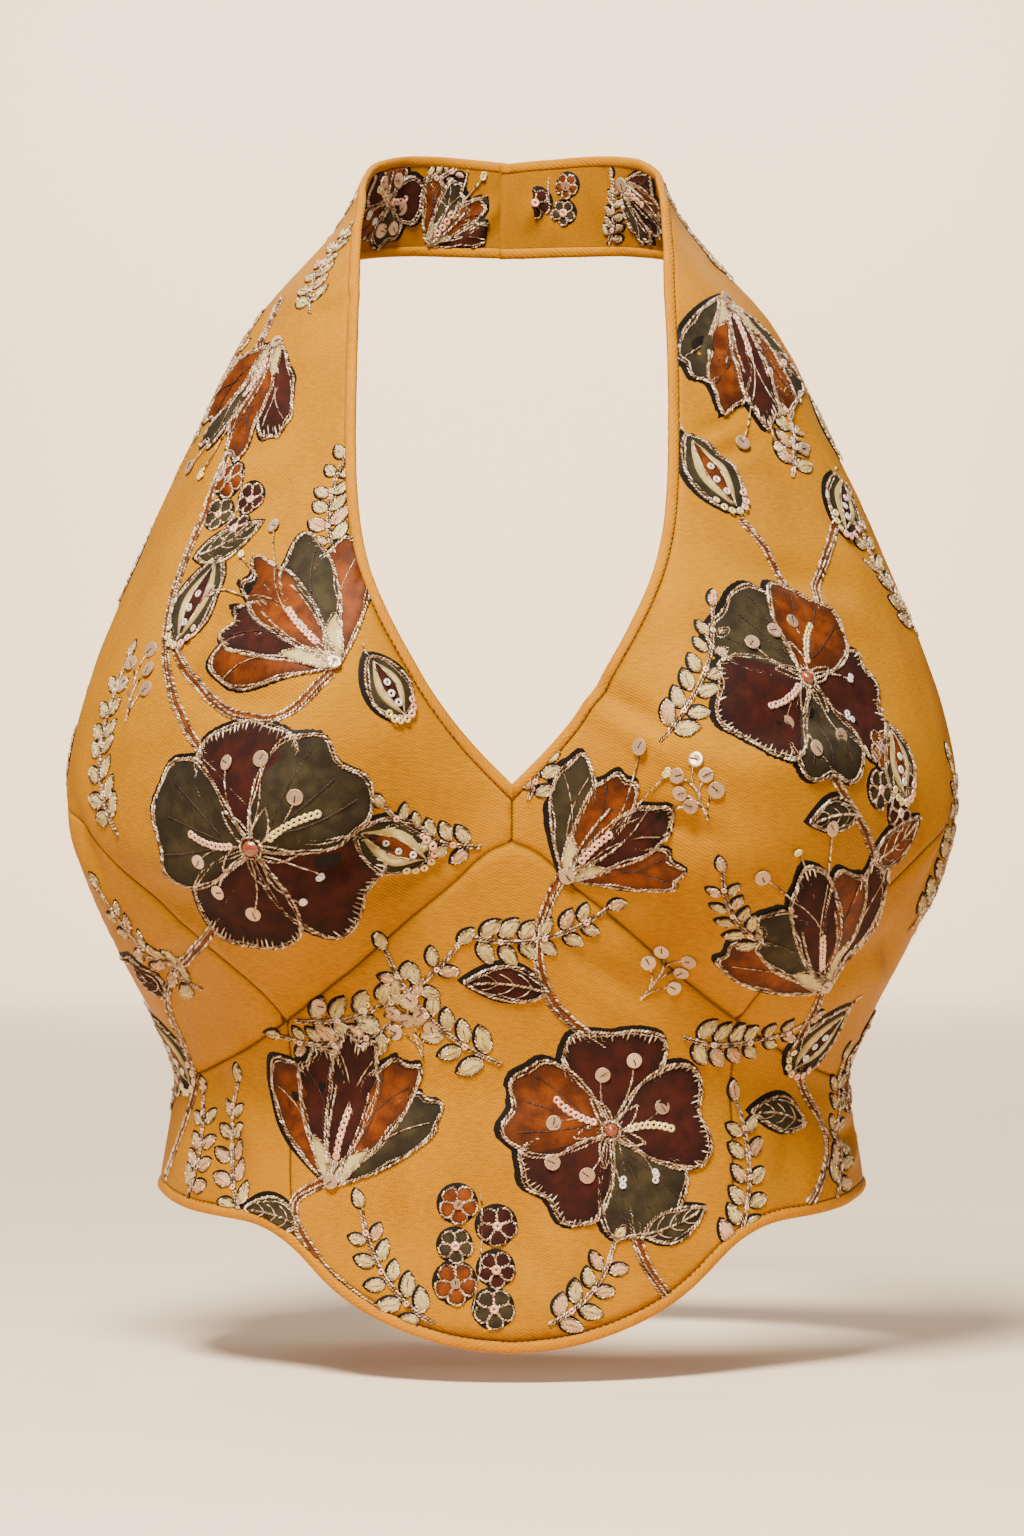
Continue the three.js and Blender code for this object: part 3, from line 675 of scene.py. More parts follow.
def lay(flat, seat, turn):
    """The places of flat points, (n, 2) from a seat, found by walking straight out to each over the cloth."""
    places = np.tile(np.asarray(seat, float), (len(flat), 1))
    slopes = slopes_at(places[:1])
    right = unit(slopes[:, :3])
    up = np.cross(unit(np.cross(slopes[:, :3], slopes[:, 3:])), right)
    cos, sin = math.cos(math.radians(turn)), math.sin(math.radians(turn))
    x = flat[:, :1] * cos - flat[:, 1:] * sin
    y = flat[:, :1] * sin + flat[:, 1:] * cos
    step = (x * right + y * up) / WALK_STEPS
    length = np.linalg.norm(step, axis=1, keepdims=True)
    for _ in range(WALK_STEPS):
        slopes = slopes_at(places)
        turned, raised = slopes[:, :3], slopes[:, 3:]
        out = unit(np.cross(turned, raised))
        step = unit(step - out * dots(step, out)[:, None]) * length
        places = places + in_chart(step, turned, raised)
    return places
SHORTEST_RUN = 0.6  # a shorter cord gets no stitch
LOOK_AHEAD = 0.4  # how far before and behind a stitch its direction is read


def sew_along(
    places, thread, pitch=1.5, length=2.45, width=1.0, height=0.75, lift=0.0, slant=24, inner=False
):
    """Short overlapping stitches along a run of places, slanted as in a twisted cord."""
    points, ups = cloth(places, lift, inner)
    at = lengths_along(points)
    if at[-1] < SHORTEST_RUN:
        return
    count = max(int(round(at[-1] / pitch)), 1)
    t = (np.arange(count) + 0.5) * at[-1] / count + RNG.normal(0, 0.07 * pitch, count)
    t = t[on_cloth(read_at(t, at, places))]
    up = unit(read_at(t, at, ups))
    ahead = unit(read_at(t + LOOK_AHEAD, at, points) - read_at(t - LOOK_AHEAD, at, points))
    side = np.cross(up, ahead)
    lean = np.radians(slant + RNG.normal(0, 6, len(t)))[:, None]
    centre = read_at(t, at, points) + side * RNG.normal(0, 0.08 * width, len(t))[:, None]
    ahead = ahead * np.cos(lean) + side * np.sin(lean)
    add_stitches(thread, centre, ahead, up, length, width, height)


def add_stitches(thread, centre, ahead, up, length, width, height):
    """Keeps stitches, each a little longer or shorter and lighter or darker than the next."""
    count = len(centre)
    if not count:
        return
    size = np.stack([
        np.broadcast_to(value, count) * RNG.uniform(low, high, count)
        for value, low, high in ((length, 0.88, 1.12), (width, 0.86, 1.14), (height, 0.85, 1.2))
    ], axis=1)
    tone = np.clip(RNG.normal(0.5, 0.3, count), 0, 1)
    STITCHES.setdefault(thread, []).append((centre, ahead, up, size, tone))


def single_stitches(start, end, thread, width=0.9, height=0.7, inner=False, lift=0.0):
    """One straight stitch from each place to another."""
    a, up = cloth(start, lift, inner)
    b = cloth(end, lift, inner)[0]
    run = b - a
    length = np.linalg.norm(run, axis=1)
    kept = on_cloth(start) & on_cloth(end) & (length > 0.3)
    add_stitches(thread, ((a + b) / 2)[kept], unit(run)[kept], up[kept], length[kept], width, height)


def add_discs(kind, places, radius, lift=0.0, inner=False):
    """Round sequins or beads, each tipped a little."""
    places = np.atleast_2d(places)
    centre, up = cloth(places, lift, inner)
    kept = room_at(places)[:, 0] > 0.8 * radius
    centre, up = centre[kept], up[kept]
    count = len(centre)
    if not count:
        return
    tip = RNG.normal(0, 0.09, (count, 3))
    up = unit(up + tip)
    ahead = unit(np.cross(up, RNG.normal(0, 1, (count, 3))))
    size = np.repeat(np.broadcast_to(radius, count)[:, None], 3, axis=1) * RNG.uniform(0.94, 1.06, (count, 1))
    tone = RNG.uniform(0, 1, count)
    DISCS.setdefault(kind, []).append((centre, ahead, up, size, tone))
    if kind == "cup_sequin":
        hold = centre + ahead * radius * 0.25 + up * radius * 0.13
        add_stitches("dark_thread", hold, ahead, up, radius * 1.3, 0.55, 0.5)


# The height of an applied piece over its cloth, by the share of the way out from its middle
PIECE_RINGS = ((0.0, 1.0), (0.4, 1.0), (0.72, 1.0), (0.9, 0.92), (0.975, 0.6), (1.0, -0.12))
SMALL_PIECE_RINGS = ((0.0, 1.0), (0.6, 1.0), (0.94, 0.85), (1.0, -0.12))
SMALL_PIECE = 15  # up to this length in millimetres


def apply_piece(fabric, outline, seat, turn, lift, puff=0.0, inner=False):
    """A piece of applied cloth, cut off cleanly where it meets a binding."""
    middle = outline.mean(axis=0)
    small = fabric == "dark_backing" or np.ptp(outline, axis=0).max() < SMALL_PIECE
    piece_rings = SMALL_PIECE_RINGS if small else PIECE_RINGS
    shares = np.array([share for share, _ in piece_rings[1:]])
    rings = middle + (outline[None] - middle) * shares[:, None, None]
    flat = np.concatenate([[middle], rings.reshape(-1, 2)])
    places = lay(flat, seat, turn)
    room = room_at(places)[:, 0]
    if room.max() < 1:
        return
    if room.min() < 0:
        kept = places[room.argmax()]
        low, high = np.zeros(len(places)), np.ones(len(places))
        for _ in range(8):
            half = (low + high) / 2
            good = on_cloth(kept + (places - kept) * half[:, None])
            low, high = np.where(good, half, low), np.where(good, high, half)
        share = np.where(room > 0, 1, low)
        places = kept + (places - kept) * share[:, None]
    count = len(outline)
    lifts = np.array([height * lift + puff * (1 - share**2) for share, height in piece_rings])
    lifts = np.concatenate([lifts[:1], np.repeat(lifts[1:], count)])
    points = cloth(places, lifts, inner)[0]
    ring = np.arange(count)
    middle_faces = np.stack([np.zeros(count, int), ring + 1, (ring + 1) % count + 1], axis=1)
    faces = np.concatenate([middle_faces, 1 + split(grid_faces(len(shares), count, closed=True))])
    if inner:
        faces = faces[:, ::-1]
    tone = np.full(len(points), RNG.uniform())
    rim = np.concatenate([[0], np.repeat(shares, count)])
    weave = np.concatenate([flat, np.full((len(flat), 1), RNG.uniform(0, 900))], axis=1)
    APPLIED.setdefault(fabric, []).append((points, faces, weave, tone, rim))


def joined_columns(rows):
    """Rows of arrays joined column by column."""
    return [np.concatenate(column) for column in zip(*rows)]


def gather(parts):
    """Joins parts, each of points, faces and values, into single arrays."""
    offsets = np.cumsum([0] + [len(part[0]) for part in parts[:-1]])
    return joined_columns([(part[0], part[1] + offset, *part[2:]) for part, offset in zip(parts, offsets)])


def parts_of(batches, most=15000):
    """The batches joined, and parted from the wearer's right to the left into parts not over most."""
    batch = joined_columns(batches)
    order = np.argsort(batch[0][:, 0], kind="stable")
    for kept in np.array_split(order, math.ceil(len(order) / most)):
        yield [values[kept] for values in batch]


def stamped(template, faces, batch):
    """Copies of a template on each (centre, ahead, up, size, tone)."""
    centre, ahead, up, size, tone = batch
    side = np.cross(up, ahead)
    local = template[None] * size[:, None]
    points = (
        centre[:, None]
        + local[..., :1] * ahead[:, None]
        + local[..., 1:2] * side[:, None]
        + local[..., 2:] * up[:, None]
    )
    offsets = np.arange(len(centre)) * len(template)
    all_faces = (faces[None] + offsets[:, None, None]).reshape(-1, faces.shape[1])
    kept = {"tone": np.repeat(tone, len(template)), "weave": local.reshape(-1, 3)}
    return points.reshape(-1, 3), all_faces, kept


def stitch_template():
    """A grain of thread one long, one wide and one high: two rings of three and two tips."""
    section = np.array([(-0.5, -0.1), (0, 0.85), (0.5, -0.1)])
    rings = [np.column_stack([np.full(3, x), section]) for x in (-0.24, 0.24)]
    tips = np.array([(-0.5, 0, 0.05), (0.5, 0, 0.05)])
    points = np.concatenate([*rings, tips])
    faces = []
    for k in range(3):
        n = (k + 1) % 3
        faces += [(k, n, n + 3), (k, n + 3, k + 3), (6, n, k), (7, k + 3, n + 3)]
    return points, np.array(faces)


def turned_template(profile, sides):
    """A shape turned from (radius, height) rows, from the middle or the inner edge out to the rim."""
    turn = 2 * math.pi * np.arange(sides) / sides
    rings = [np.column_stack([r * np.cos(turn), r * np.sin(turn), np.full(sides, z)]) for r, z in profile]
    return np.concatenate(rings), split(grid_faces(len(profile), sides, closed=True))


# Profiles for a radius of one
CUP_SEQUIN = ((0.1, 0.13), (0.16, 0.16), (0.62, 0.1), (0.93, 0.17), (1.0, 0.12), (0.97, -0.06))
RING_SEQUIN = ((0.3, 0.05), (0.42, 0.26), (0.75, 0.3), (1.0, 0.16), (0.98, -0.05))
BEAD = ((0.02, 0.95), (0.5, 0.82), (0.86, 0.42), (1.0, 0.0))


# Shapes of petals and leaves, drawn flat with the foot at the origin and the tip up


def petal(length, width, notch=0.0, wave=0.045, count=48):
    """A petal, widest towards its tip, each with an edge of its own. A notch may part the tip."""
    turn = 2 * math.pi * np.arange(count) / count
    y = length * (1 - np.cos(turn)) / 2
    share = np.clip(y / length, 0.001, 1)
    x = width / 2 * np.sin(turn) * (0.2 + 0.95 * share**0.6) / 1.02
    tip = smooth((share - 0.25) / 0.6)
    y = y - notch * np.exp(-((x / (0.16 * width)) ** 2)) * smooth((share - 0.5) / 0.5)
    ripple = sum(RNG.uniform(-1, 1) * np.sin(k * turn + RNG.uniform(0, 6)) for k in (2, 3, 5, 8))
    return np.stack([x, y], axis=1) * (1 + wave * ripple * tip)[:, None]


def pointed(length, width, lean=0.0, count=28, fullness=0.85):
    """A leaf or bud, pointed at both ends, leaning to one side. The less its fullness, the rounder it is."""
    t = np.linspace(0, 1, count // 2 + 1)
    half = width / 2 * np.sin(math.pi * t**0.85) ** fullness
    bow = lean * np.sin(math.pi * t)
    right = np.stack([bow + half, t * length], axis=1)
    left = np.stack([bow - half, t * length], axis=1)[1:-1][::-1]
    return np.concatenate([right, left])


def round_patch(radius, count=20):
    turn = 2 * math.pi * np.arange(count) / count
    return radius * np.stack([np.cos(turn), np.sin(turn)], axis=1)


def turned_flat(points, degrees, move=(0.0, 0.0)):
    cos, sin = math.cos(math.radians(degrees)), math.sin(math.radians(degrees))
    return np.asarray(points, float) @ np.array([[cos, sin], [-sin, cos]]) + np.asarray(move)


def arc(start, end, bow=0.0, count=14):
    """A bowed line between two flat points."""
    start, end = np.asarray(start, float), np.asarray(end, float)
    t = np.linspace(0, 1, count)[:, None]
    across = np.array([-(end - start)[1], (end - start)[0]])
    return start + (end - start) * t + across * bow * 4 * t * (1 - t)


def closed_run(outline):
    """The outline walked once round, with points about a millimetre apart."""
    loop = np.concatenate([outline, outline[:1]])
    at = lengths_along(loop)
    return read_at(np.linspace(0, at[-1], max(int(at[-1] / 1.1), 8)), at, loop)


def shrunk(outline, by, middle):
    """An outline drawn in towards its middle by about the same distance all round."""
    away = outline - middle
    reach = np.linalg.norm(away, axis=1, keepdims=True)
    return middle + away * np.maximum(1 - by / np.maximum(reach, 0.1), 0.1)


# How cords are sewn
LOOSE = {"width": 0.75, "height": 0.6, "pitch": 1.55, "length": 2.4, "slant": 16}
FINE = {"width": 0.85, "height": 0.7, "pitch": 1.35, "length": 2.05}
STALK = {"width": 0.7, "height": 0.6, "pitch": 1.4, "length": 2.2, "slant": 12}
VEIN = {"width": 0.5, "height": 0.35, "length": 2.6, "slant": 4}
# Radii of sequins and beads
ROW_SEQUIN = 1.6
STAMEN_SEQUIN = 3.1
STAMEN_PEARL = 1.4


class Motif:
    """Flat work at one seat on the cloth."""

    def __init__(self, seat, turn=0.0, inner=False):
        self.seat, self.turn, self.inner = seat, turn, inner

    def piece(self, fabric, outline, lift, puff=0.0):
        apply_piece(fabric, outline, self.seat, self.turn, lift, puff, self.inner)

    def cord(self, path, thread="silver_cord", **how):
        sew_along(lay(path, self.seat, self.turn), thread, inner=self.inner, **how)

    def corded(self, fabric, outline, lift=0.5, puff=0.45, margin=1.5, fringe=0.0, **how):
        """A piece on a dark one that shows past its edge, with cords round it and a fringe at its end."""
        middle = outline.mean(axis=0)
        shift = turned_flat([(-0.75 * margin, 0.4 * margin)], -self.turn)
        self.piece("dark_backing", shrunk(outline, -margin, middle) + shift, 0.2)
        self.piece(fabric, outline, lift, puff)
        edge = closed_run(shrunk(outline, 0.4, middle))
        self.cord(edge, lift=lift - 0.1, **how)
        if how:
            return
        wander = 1.15 + 0.5 * np.sin(0.31 * np.arange(len(edge)) + RNG.uniform(0, 6))
        self.cord(edge - unit(edge - middle) * wander[:, None], lift=lift, **LOOSE)
        if fringe:
            reach = np.linalg.norm(edge, axis=1)
            end = edge[reach > 0.74 * reach.max()][::2]
            length = fringe * RNG.uniform(0.45, 1.3, (len(end), 1))
            tips = end - unit(end) * length + RNG.normal(0, 0.35, end.shape)
            ends = [lay(points, self.seat, self.turn) for points in (end, tips)]
            single_stitches(*ends, "silver_cord", width=0.75, height=0.6, lift=lift + 0.2, inner=self.inner)

    def discs(self, kind, points, radius, lift):
        add_discs(kind, lay(np.atleast_2d(points), self.seat, self.turn), radius, lift, self.inner)

    def stamen(self, foot, tip, bow, lift, end="cup_sequin"):
        path = arc(foot, tip, bow)
        self.cord(path, lift=lift - 0.2, **STALK)
        if end == "cup_sequin":
            self.discs(end, path[-1], STAMEN_SEQUIN, lift)
        else:
            self.discs(end, path[-1] + RNG.normal(0, 0.8, (3, 2)), STAMEN_PEARL, lift)


def blossom(seat, turn, size, petals, inner=False):
    """An open round flower with a petal of each fabric, stamens, rows of sequins and a beaded middle."""
    motif = Motif(seat, turn, inner)
    fabrics = [SILKS[letter] for letter in petals]
    spread = 360 / len(fabrics)
    width = 2 * size * math.sin(math.pi / len(fabrics)) * 0.93
    for k, fabric in enumerate(fabrics):
        way = k * spread + RNG.normal(0, 4)
        long = size * RNG.uniform(0.92, 1.08)
        outline = petal(long, width * RNG.uniform(0.93, 1.08), notch=size * RNG.choice([0, 0.04, 0.09]))
        lift = 0.5 + 0.18 * (k * 2 % 3)
        fringe = size * 0.085 if fabric == "maroon" else 0
        motif.corded(fabric, turned_flat(outline, way), lift, 0.6, fringe=fringe)
        over = lift + 0.5
        if fabric != "maroon":
            for side in (-0.2, 0.02, 0.22):
                path = arc((side * 0.2 * long, 0.26 * long), (side * 1.3 * long, 0.8 * long), side * -0.15)
                motif.cord(turned_flat(path, way), "dark_thread", lift=over, **VEIN)
    for k, fabric in enumerate(fabrics):
        way = k * spread + RNG.normal(0, 5)
        over = 1.25
        if k % 3 == 1:
            row = arc((0, 0.18 * size), (0.04 * size, 0.56 * size), 0.08, max(int(size / 5), 4))
            motif.discs("pink_sequin" if k % 2 else "gold_sequin", turned_flat(row, way), ROW_SEQUIN, over)
            motif.stamen(*turned_flat([(0, 0.1 * size), (-0.16 * size, 0.5 * size)], way), -0.1, over)
        else:
            for side in (-1, 1):
                tip = (side * size * RNG.uniform(0.1, 0.2), size * RNG.uniform(0.42, 0.66))
                foot = (side * 0.02 * size, 0.1 * size)
                end = "cup_sequin" if (k + side) % 2 else "pearl_sequin"
                motif.stamen(*turned_flat([foot, tip], way), side * -0.1, over, end)
        loop = pointed(size * 0.34, size * 0.12, lean=size * 0.02)
        motif.cord(closed_run(turned_flat(loop, way + spread / 2)), lift=1.0, **FINE)
    motif.cord(closed_run(round_patch(0.085 * size)), lift=1.4)
    motif.discs("rust_bead", (0.0, 0.0), 0.065 * size, 1.1)


def fan(seat, turn, size, petals, inner=False):
    """A flower seen from the side: narrow petals spread from a calyx, with cords between them and stamens."""
    motif = Motif(seat, turn, inner)
    fabrics = [SILKS[letter] for letter in petals]
    for side in (-1, 0, 1):
        tip = turned_flat([(0, size * 1.2)], side * 13)[0]
        motif.stamen((0, 0.5 * size), tip, side * -0.05, 0.9, "cup_sequin" if side else "gold_sequin")
    count = len(fabrics)
    order = sorted(range(count), key=lambda k: -abs(k - (count - 1) / 2))
    for rank, k in enumerate(order):
        off = k - (count - 1) / 2
        way = -off * 96 / count
        long = size * (1.0 - 0.05 * abs(off)) * RNG.uniform(0.95, 1.04)
        outline = turned_flat(petal(long, size * 0.4), way)
        lift = 0.45 + 0.16 * rank
        fringe = size * 0.07 if fabrics[k] == "maroon" else 0
        motif.corded(fabrics[k], outline, lift, 0.4, fringe=fringe)
        for side in (-0.1, 0.1):
            path = arc((side * 0.2 * long, 0.12 * long), (side * long, 0.84 * long), side)
            vein = "dark_thread" if k % 2 else "silver_cord"
            motif.cord(turned_flat(path, way), vein, lift=lift + 0.4, **VEIN)
    for side in (-1, 1):
        path = arc((0, 0), turned_flat([(0, size * 0.66)], side * 10)[0], side * 0.05)
        motif.cord(path, lift=1.3, **FINE)
        sepal = turned_flat(pointed(size * 0.36, size * 0.12, lean=-side * 1.0), -side * 34)
        motif.corded("sage", sepal, 1.1, 0.2, margin=0.8, **FINE)
    row = arc((0, 0.2 * size), (0.5, 0.5 * size), 0.03, max(int(size / 7), 3))
    motif.discs("pink_sequin", row, ROW_SEQUIN, 1.5)
    motif.discs("cup_sequin", (0, 0.03 * size), 3.0, 1.5)


def bud(seat, turn, size, fabric="maroon", inner=False):
    """A closed bud: an almond with a striped middle between two long sepals."""
    motif = Motif(seat, turn, inner)
    motif.corded("olive", pointed(size, size * 0.66, fullness=0.7), 0.5, 0.5, margin=1.4)
    motif.piece(fabric, pointed(size * 0.74, size * 0.22) + (0, size * 0.13), 1.1, 0.2)
    for side in (-1, 1):
        sepal = pointed(size * 0.82, size * 0.085, lean=side * size * 0.15) + (0, size * 0.08)
        motif.piece("sage", sepal, 1.15, 0.2)
        inner_edge = arc((0, size * 0.08), (0, size * 0.88), side * -0.11, 16)
        motif.cord(inner_edge, lift=1.2, **VEIN)
        row = arc((0, 0.02 * size), (side * size * 0.2, size * 0.2), side * -0.2, 4)
        motif.discs("pink_sequin" if side > 0 else "gold_sequin", row, ROW_SEQUIN, 1.3)
    motif.discs("pearl_sequin", arc((0, 0.26 * size), (0, 0.56 * size), 0.1, 3), ROW_SEQUIN, 1.5)
    motif.cord(arc((0, size), (size * 0.04, size * 1.16), 0.1, 6), lift=0.3, **STALK)


def leaf(seat, turn, length, fabric="olive", inner=False):
    """A pointed leaf with a corded edge, a midrib and side veins."""
    motif = Motif(seat, turn, inner)
    width = 0.46
    motif.corded(fabric, pointed(length, length * width, lean=length * 0.06, count=32), 0.5, 0.5)
    motif.cord(arc((0, 0.02 * length), (0, 0.88 * length), -0.06, 16), lift=1.0, **FINE)
    for k in range(3):
        foot = 0.2 + 0.2 * k
        for side in (-1, 1):
            tip = (side * length * width * (0.32 - 0.06 * k) + length * 0.04, length * (foot + 0.17))
            motif.cord(arc((length * 0.04, length * foot), tip, side * -0.1, 6), lift=0.95, **VEIN)


PINK_LEAVES = 0.22  # of all the small leaves


def leaflet(motif, foot, way, length):
    """A small leaf of a sprig, cream or now and then pink, with a corded edge and middle."""
    outline = turned_flat(pointed(length, length * 0.58, count=16, fullness=0.65), way, foot)
    motif.corded("blush" if RNG.uniform() < PINK_LEAVES else "sage", outline, 0.45, 0.4, margin=0.7, **FINE)
    rib = turned_flat(arc((0, 0.24 * length), (0, 0.72 * length), 0.03, 5), way, foot)
    motif.cord(rib, "gold_thread" if RNG.uniform() < 0.5 else "silver_cord", lift=0.85, **VEIN)


def sprig(seat, turn, length, size=8.5, inner=False):
    """A bowed stem with pairs of small leaves close together and one at its tip."""
    motif = Motif(seat, turn, inner)
    pairs = max(round(length / (1.0 * size)), 3)
    path = arc((0, 0), (0, length), 0.12 * (1 if turn > 0 else -1), 31)
    for k in range(pairs):
        t = 0.1 + 0.86 * k / pairs
        i = int(t * 30)
        ahead = path[i + 1] - path[i - 1]
        heading = math.degrees(math.atan2(-ahead[0], ahead[1]))
        grown = size * (1.06 - 0.36 * t) * RNG.uniform(0.92, 1.08)
        for side in (-1, 1):
            foot = path[i] + unit(ahead)[::-1] * (1.3 * side, -1.3 * side) + RNG.normal(0, 0.25, 2)
            leaflet(motif, foot, heading - side * RNG.uniform(42, 56), grown)
    leaflet(motif, path[-1], heading, size * 0.8)
    for off in (-0.55, 0.55):
        motif.cord(path + (off, 0), lift=0.35, **FINE)
    motif.discs("pink_sequin", path[7::9], 1.2, 1.0)


def floret(motif, middle, size, fabric):
    """A small flower of five round petals."""
    motif.piece("dark_backing", round_patch(size * 1.06) + middle + (0.5, -0.5), 0.2)
    for k in range(5):
        outline = turned_flat(petal(size, size * 0.98, wave=0.02, count=20), 72 * k + 8, middle)
        motif.piece(fabric, outline, 0.45 + 0.1 * (k % 2), 0.3)
        motif.cord(closed_run(shrunk(outline, 0.3, outline.mean(axis=0))), lift=0.5, **FINE)
    motif.discs("pink_sequin" if fabric != "rust" else "cup_sequin", middle, 1.9, 1.0)


def cluster(seat, turn, count, size, inner=False):
    """Small flowers in two rows down a thin stalk."""
    motif = Motif(seat, turn, inner)
    motif.cord(arc((0, 0), (0, count * size * 0.95), 0.04, 20), lift=0.1, **STALK)
    fabrics = ("rust", "maroon", "olive", "maroon", "rust", "olive")
    for k in range(count):
        side = -1 if k % 2 else 1
        middle = np.array([side * size * 0.95, size * (0.6 + 0.95 * k)]) + RNG.normal(0, 0.6, 2)
        floret(motif, middle, size * RNG.uniform(0.86, 1.08), fabrics[k % 6])


def berries(seat, turn, length, count=5, inner=False):
    """A forked spray of thin stalks that end in cup sequins."""
    motif = Motif(seat, turn, inner)
    for k in range(count):
        side = -1 if k % 2 else 1
        foot = (0, length * 0.12 * k)
        tip = (side * length * (0.3 - 0.03 * k), length * (0.42 + 0.14 * k))
        motif.stamen(foot, tip, side * 0.14, 0.4)
    motif.cord(arc((0, 0), (0, length * 0.6), 0.0, 12), lift=0.1, **FINE)


def vine(places, half=1.7):
    """Cords along a smooth line of places, with a narrow rust piece between them."""
    control = np.array(places, float)
    at = lengths_along(outside(*control.T))
    t = np.linspace(0, at[-1], int(at[-1] / 1.5))
    run = np.stack([Spline(at, control[:, 0])(t), Spline(at, control[:, 1])(t)], axis=1)
    run[:, 1] += 0.3 * np.sin(t / 5.3) + 0.2 * np.sin(t / 2.9 + 1)
    for side in (-1, 1):
        sew_along(beside(run, side * half), "silver_cord", lift=0.1)
    sew_along(beside(run, 0.45 * half * np.sin(t[:, None] / 19)), "silver_cord", lift=0.4, **FINE)
    strip = np.stack([beside(run, half * k) for k in (0.8, 0.3, -0.3, -0.8)], axis=1)
    kept = on_cloth(run)
    lifts = np.broadcast_to(np.array([-0.05, 0.36, 0.36, -0.05]), strip.shape[:2])
    points = cloth(strip, lifts)[0].reshape(-1, 3)
    quads = grid_faces(len(run), 4)
    quads = quads[kept[quads[:, 0] // 4] & kept[quads[:, 2] // 4]]
    faces = split(quads)
    weave = np.column_stack([np.repeat(t, 4), np.tile(np.arange(4.0), len(run)), np.zeros(len(points))])
    rust = (points, faces, weave, np.full(len(points), 0.6), np.zeros(len(points)))
    APPLIED.setdefault("rust", []).append(rust)


# The layout. x is to the wearer's left in the front view, and turns are anticlockwise from up.


def chart_runs(*runs):
    return [[front(x, z) for x, z in run] for run in runs]


VINES = chart_runs(
    ((-92, -44), (-108, -96), (-128, -150), (-134, -190), (-118, -226), (-100, -246)),
    ((-133, -178), (-112, -208), (-88, -212), (-68, -196)),
    ((150, -120), (126, -140), (118, -170), (114, -194)),
    ((116, -228), (138, -262), (140, -296), (122, -318)),
    ((122, -316), (112, -350), (124, -380), (116, -404)),
    ((-52, -442), (-74, -424), (-84, -400), (-70, -392)), ((60, -436), (50, -420), (46, -400), (40, -372)),
    ((36, -340), (16, -322), (10, -298), (20, -272)),
    ((-140, -396), (-126, -360), (-134, -330), (-120, -300), (-104, -276)),
    ((88, -136), (100, -150), (112, -180)),
)

# Fabrics of petals, named by their first letters
SILKS = {"m": "maroon", "o": "olive", "r": "rust"}
DARK_FIVE = "mommo"
WARM_FIVE = "rmorm"

# seat, turn, size and petals
BLOSSOMS = (
    (front(-98, -262), 12, 52, DARK_FIVE), (front(112, -198), 40, 47, "omomr"),
    (front(38, -372), -8, 43, "mrmom"), ((-128, -352), 30, 41, WARM_FIVE),
    ((128, -350), -20, 41, DARK_FIVE), ((104, -276), 18, 32, WARM_FIVE), ((140, 2), 10, 19, WARM_FIVE),
    ((-150, 0), -20, 18, DARK_FIVE),
)
FANS = (
    (front(-66, -194), 36, 67, "rmror"), (front(122, -318), 40, 67, "romrm"),
    (front(84, -44), 172, 60, "ormro"), (front(-70, -394), -12, 60, "rmmro"),
    (front(-92, -62), 166, 52, "mror"), (front(20, -274), -42, 52, "ormr"), ((-100, -258), 8, 49, "ormr"),
    ((160, -392), 4, 49, "mror"), ((-164, -392), -6, 49, "rmro"), ((160, 12), 150, 28, "mror"),
    ((-124, -8), 60, 28, "rmro"),
)
# seat, turn, size and the fabric of the middle
BUDS = (
    (front(-130, -186), -4, 42, "maroon"), (front(-30, -268), 66, 37, "rust"),
    (front(88, -134), 14, 40, "rust"), (front(108, -352), -36, 37, "maroon"),
    (front(132, -140), -30, 34, "maroon"), (front(-126, -360), 40, 40, "rust"), ((90, -110), 4, 30, "rust"),
    ((-96, -170), -4, 32, "maroon"), (front(-40, -214), 28, 29, "maroon"),
    (front(152, -246), 8, 33, "rust"), ((118, 8), 96, 26, "rust"), ((-116, -10), -84, 26, "maroon"),
    ((150, -330), 30, 34, "rust"), ((-148, -330), -30, 34, "maroon"),
)
# seat, turn, length and fabric
LEAVES = (
    (front(-124, -150), -62, 35, "olive"), (front(138, -268), -60, 35, "rust"),
    (front(132, -250), 96, 29, "olive"), (front(14, -318), 84, 33, "maroon"),
    (front(116, -372), 78, 31, "olive"), (front(-82, -410), 78, 29, "olive"),
    (front(-134, -322), 60, 33, "maroon"), (front(50, -412), -70, 29, "olive"),
    ((148, -378), -70, 31, "olive"), ((-112, -322), -76, 33, "maroon"), ((-148, -376), 70, 29, "olive"),
)

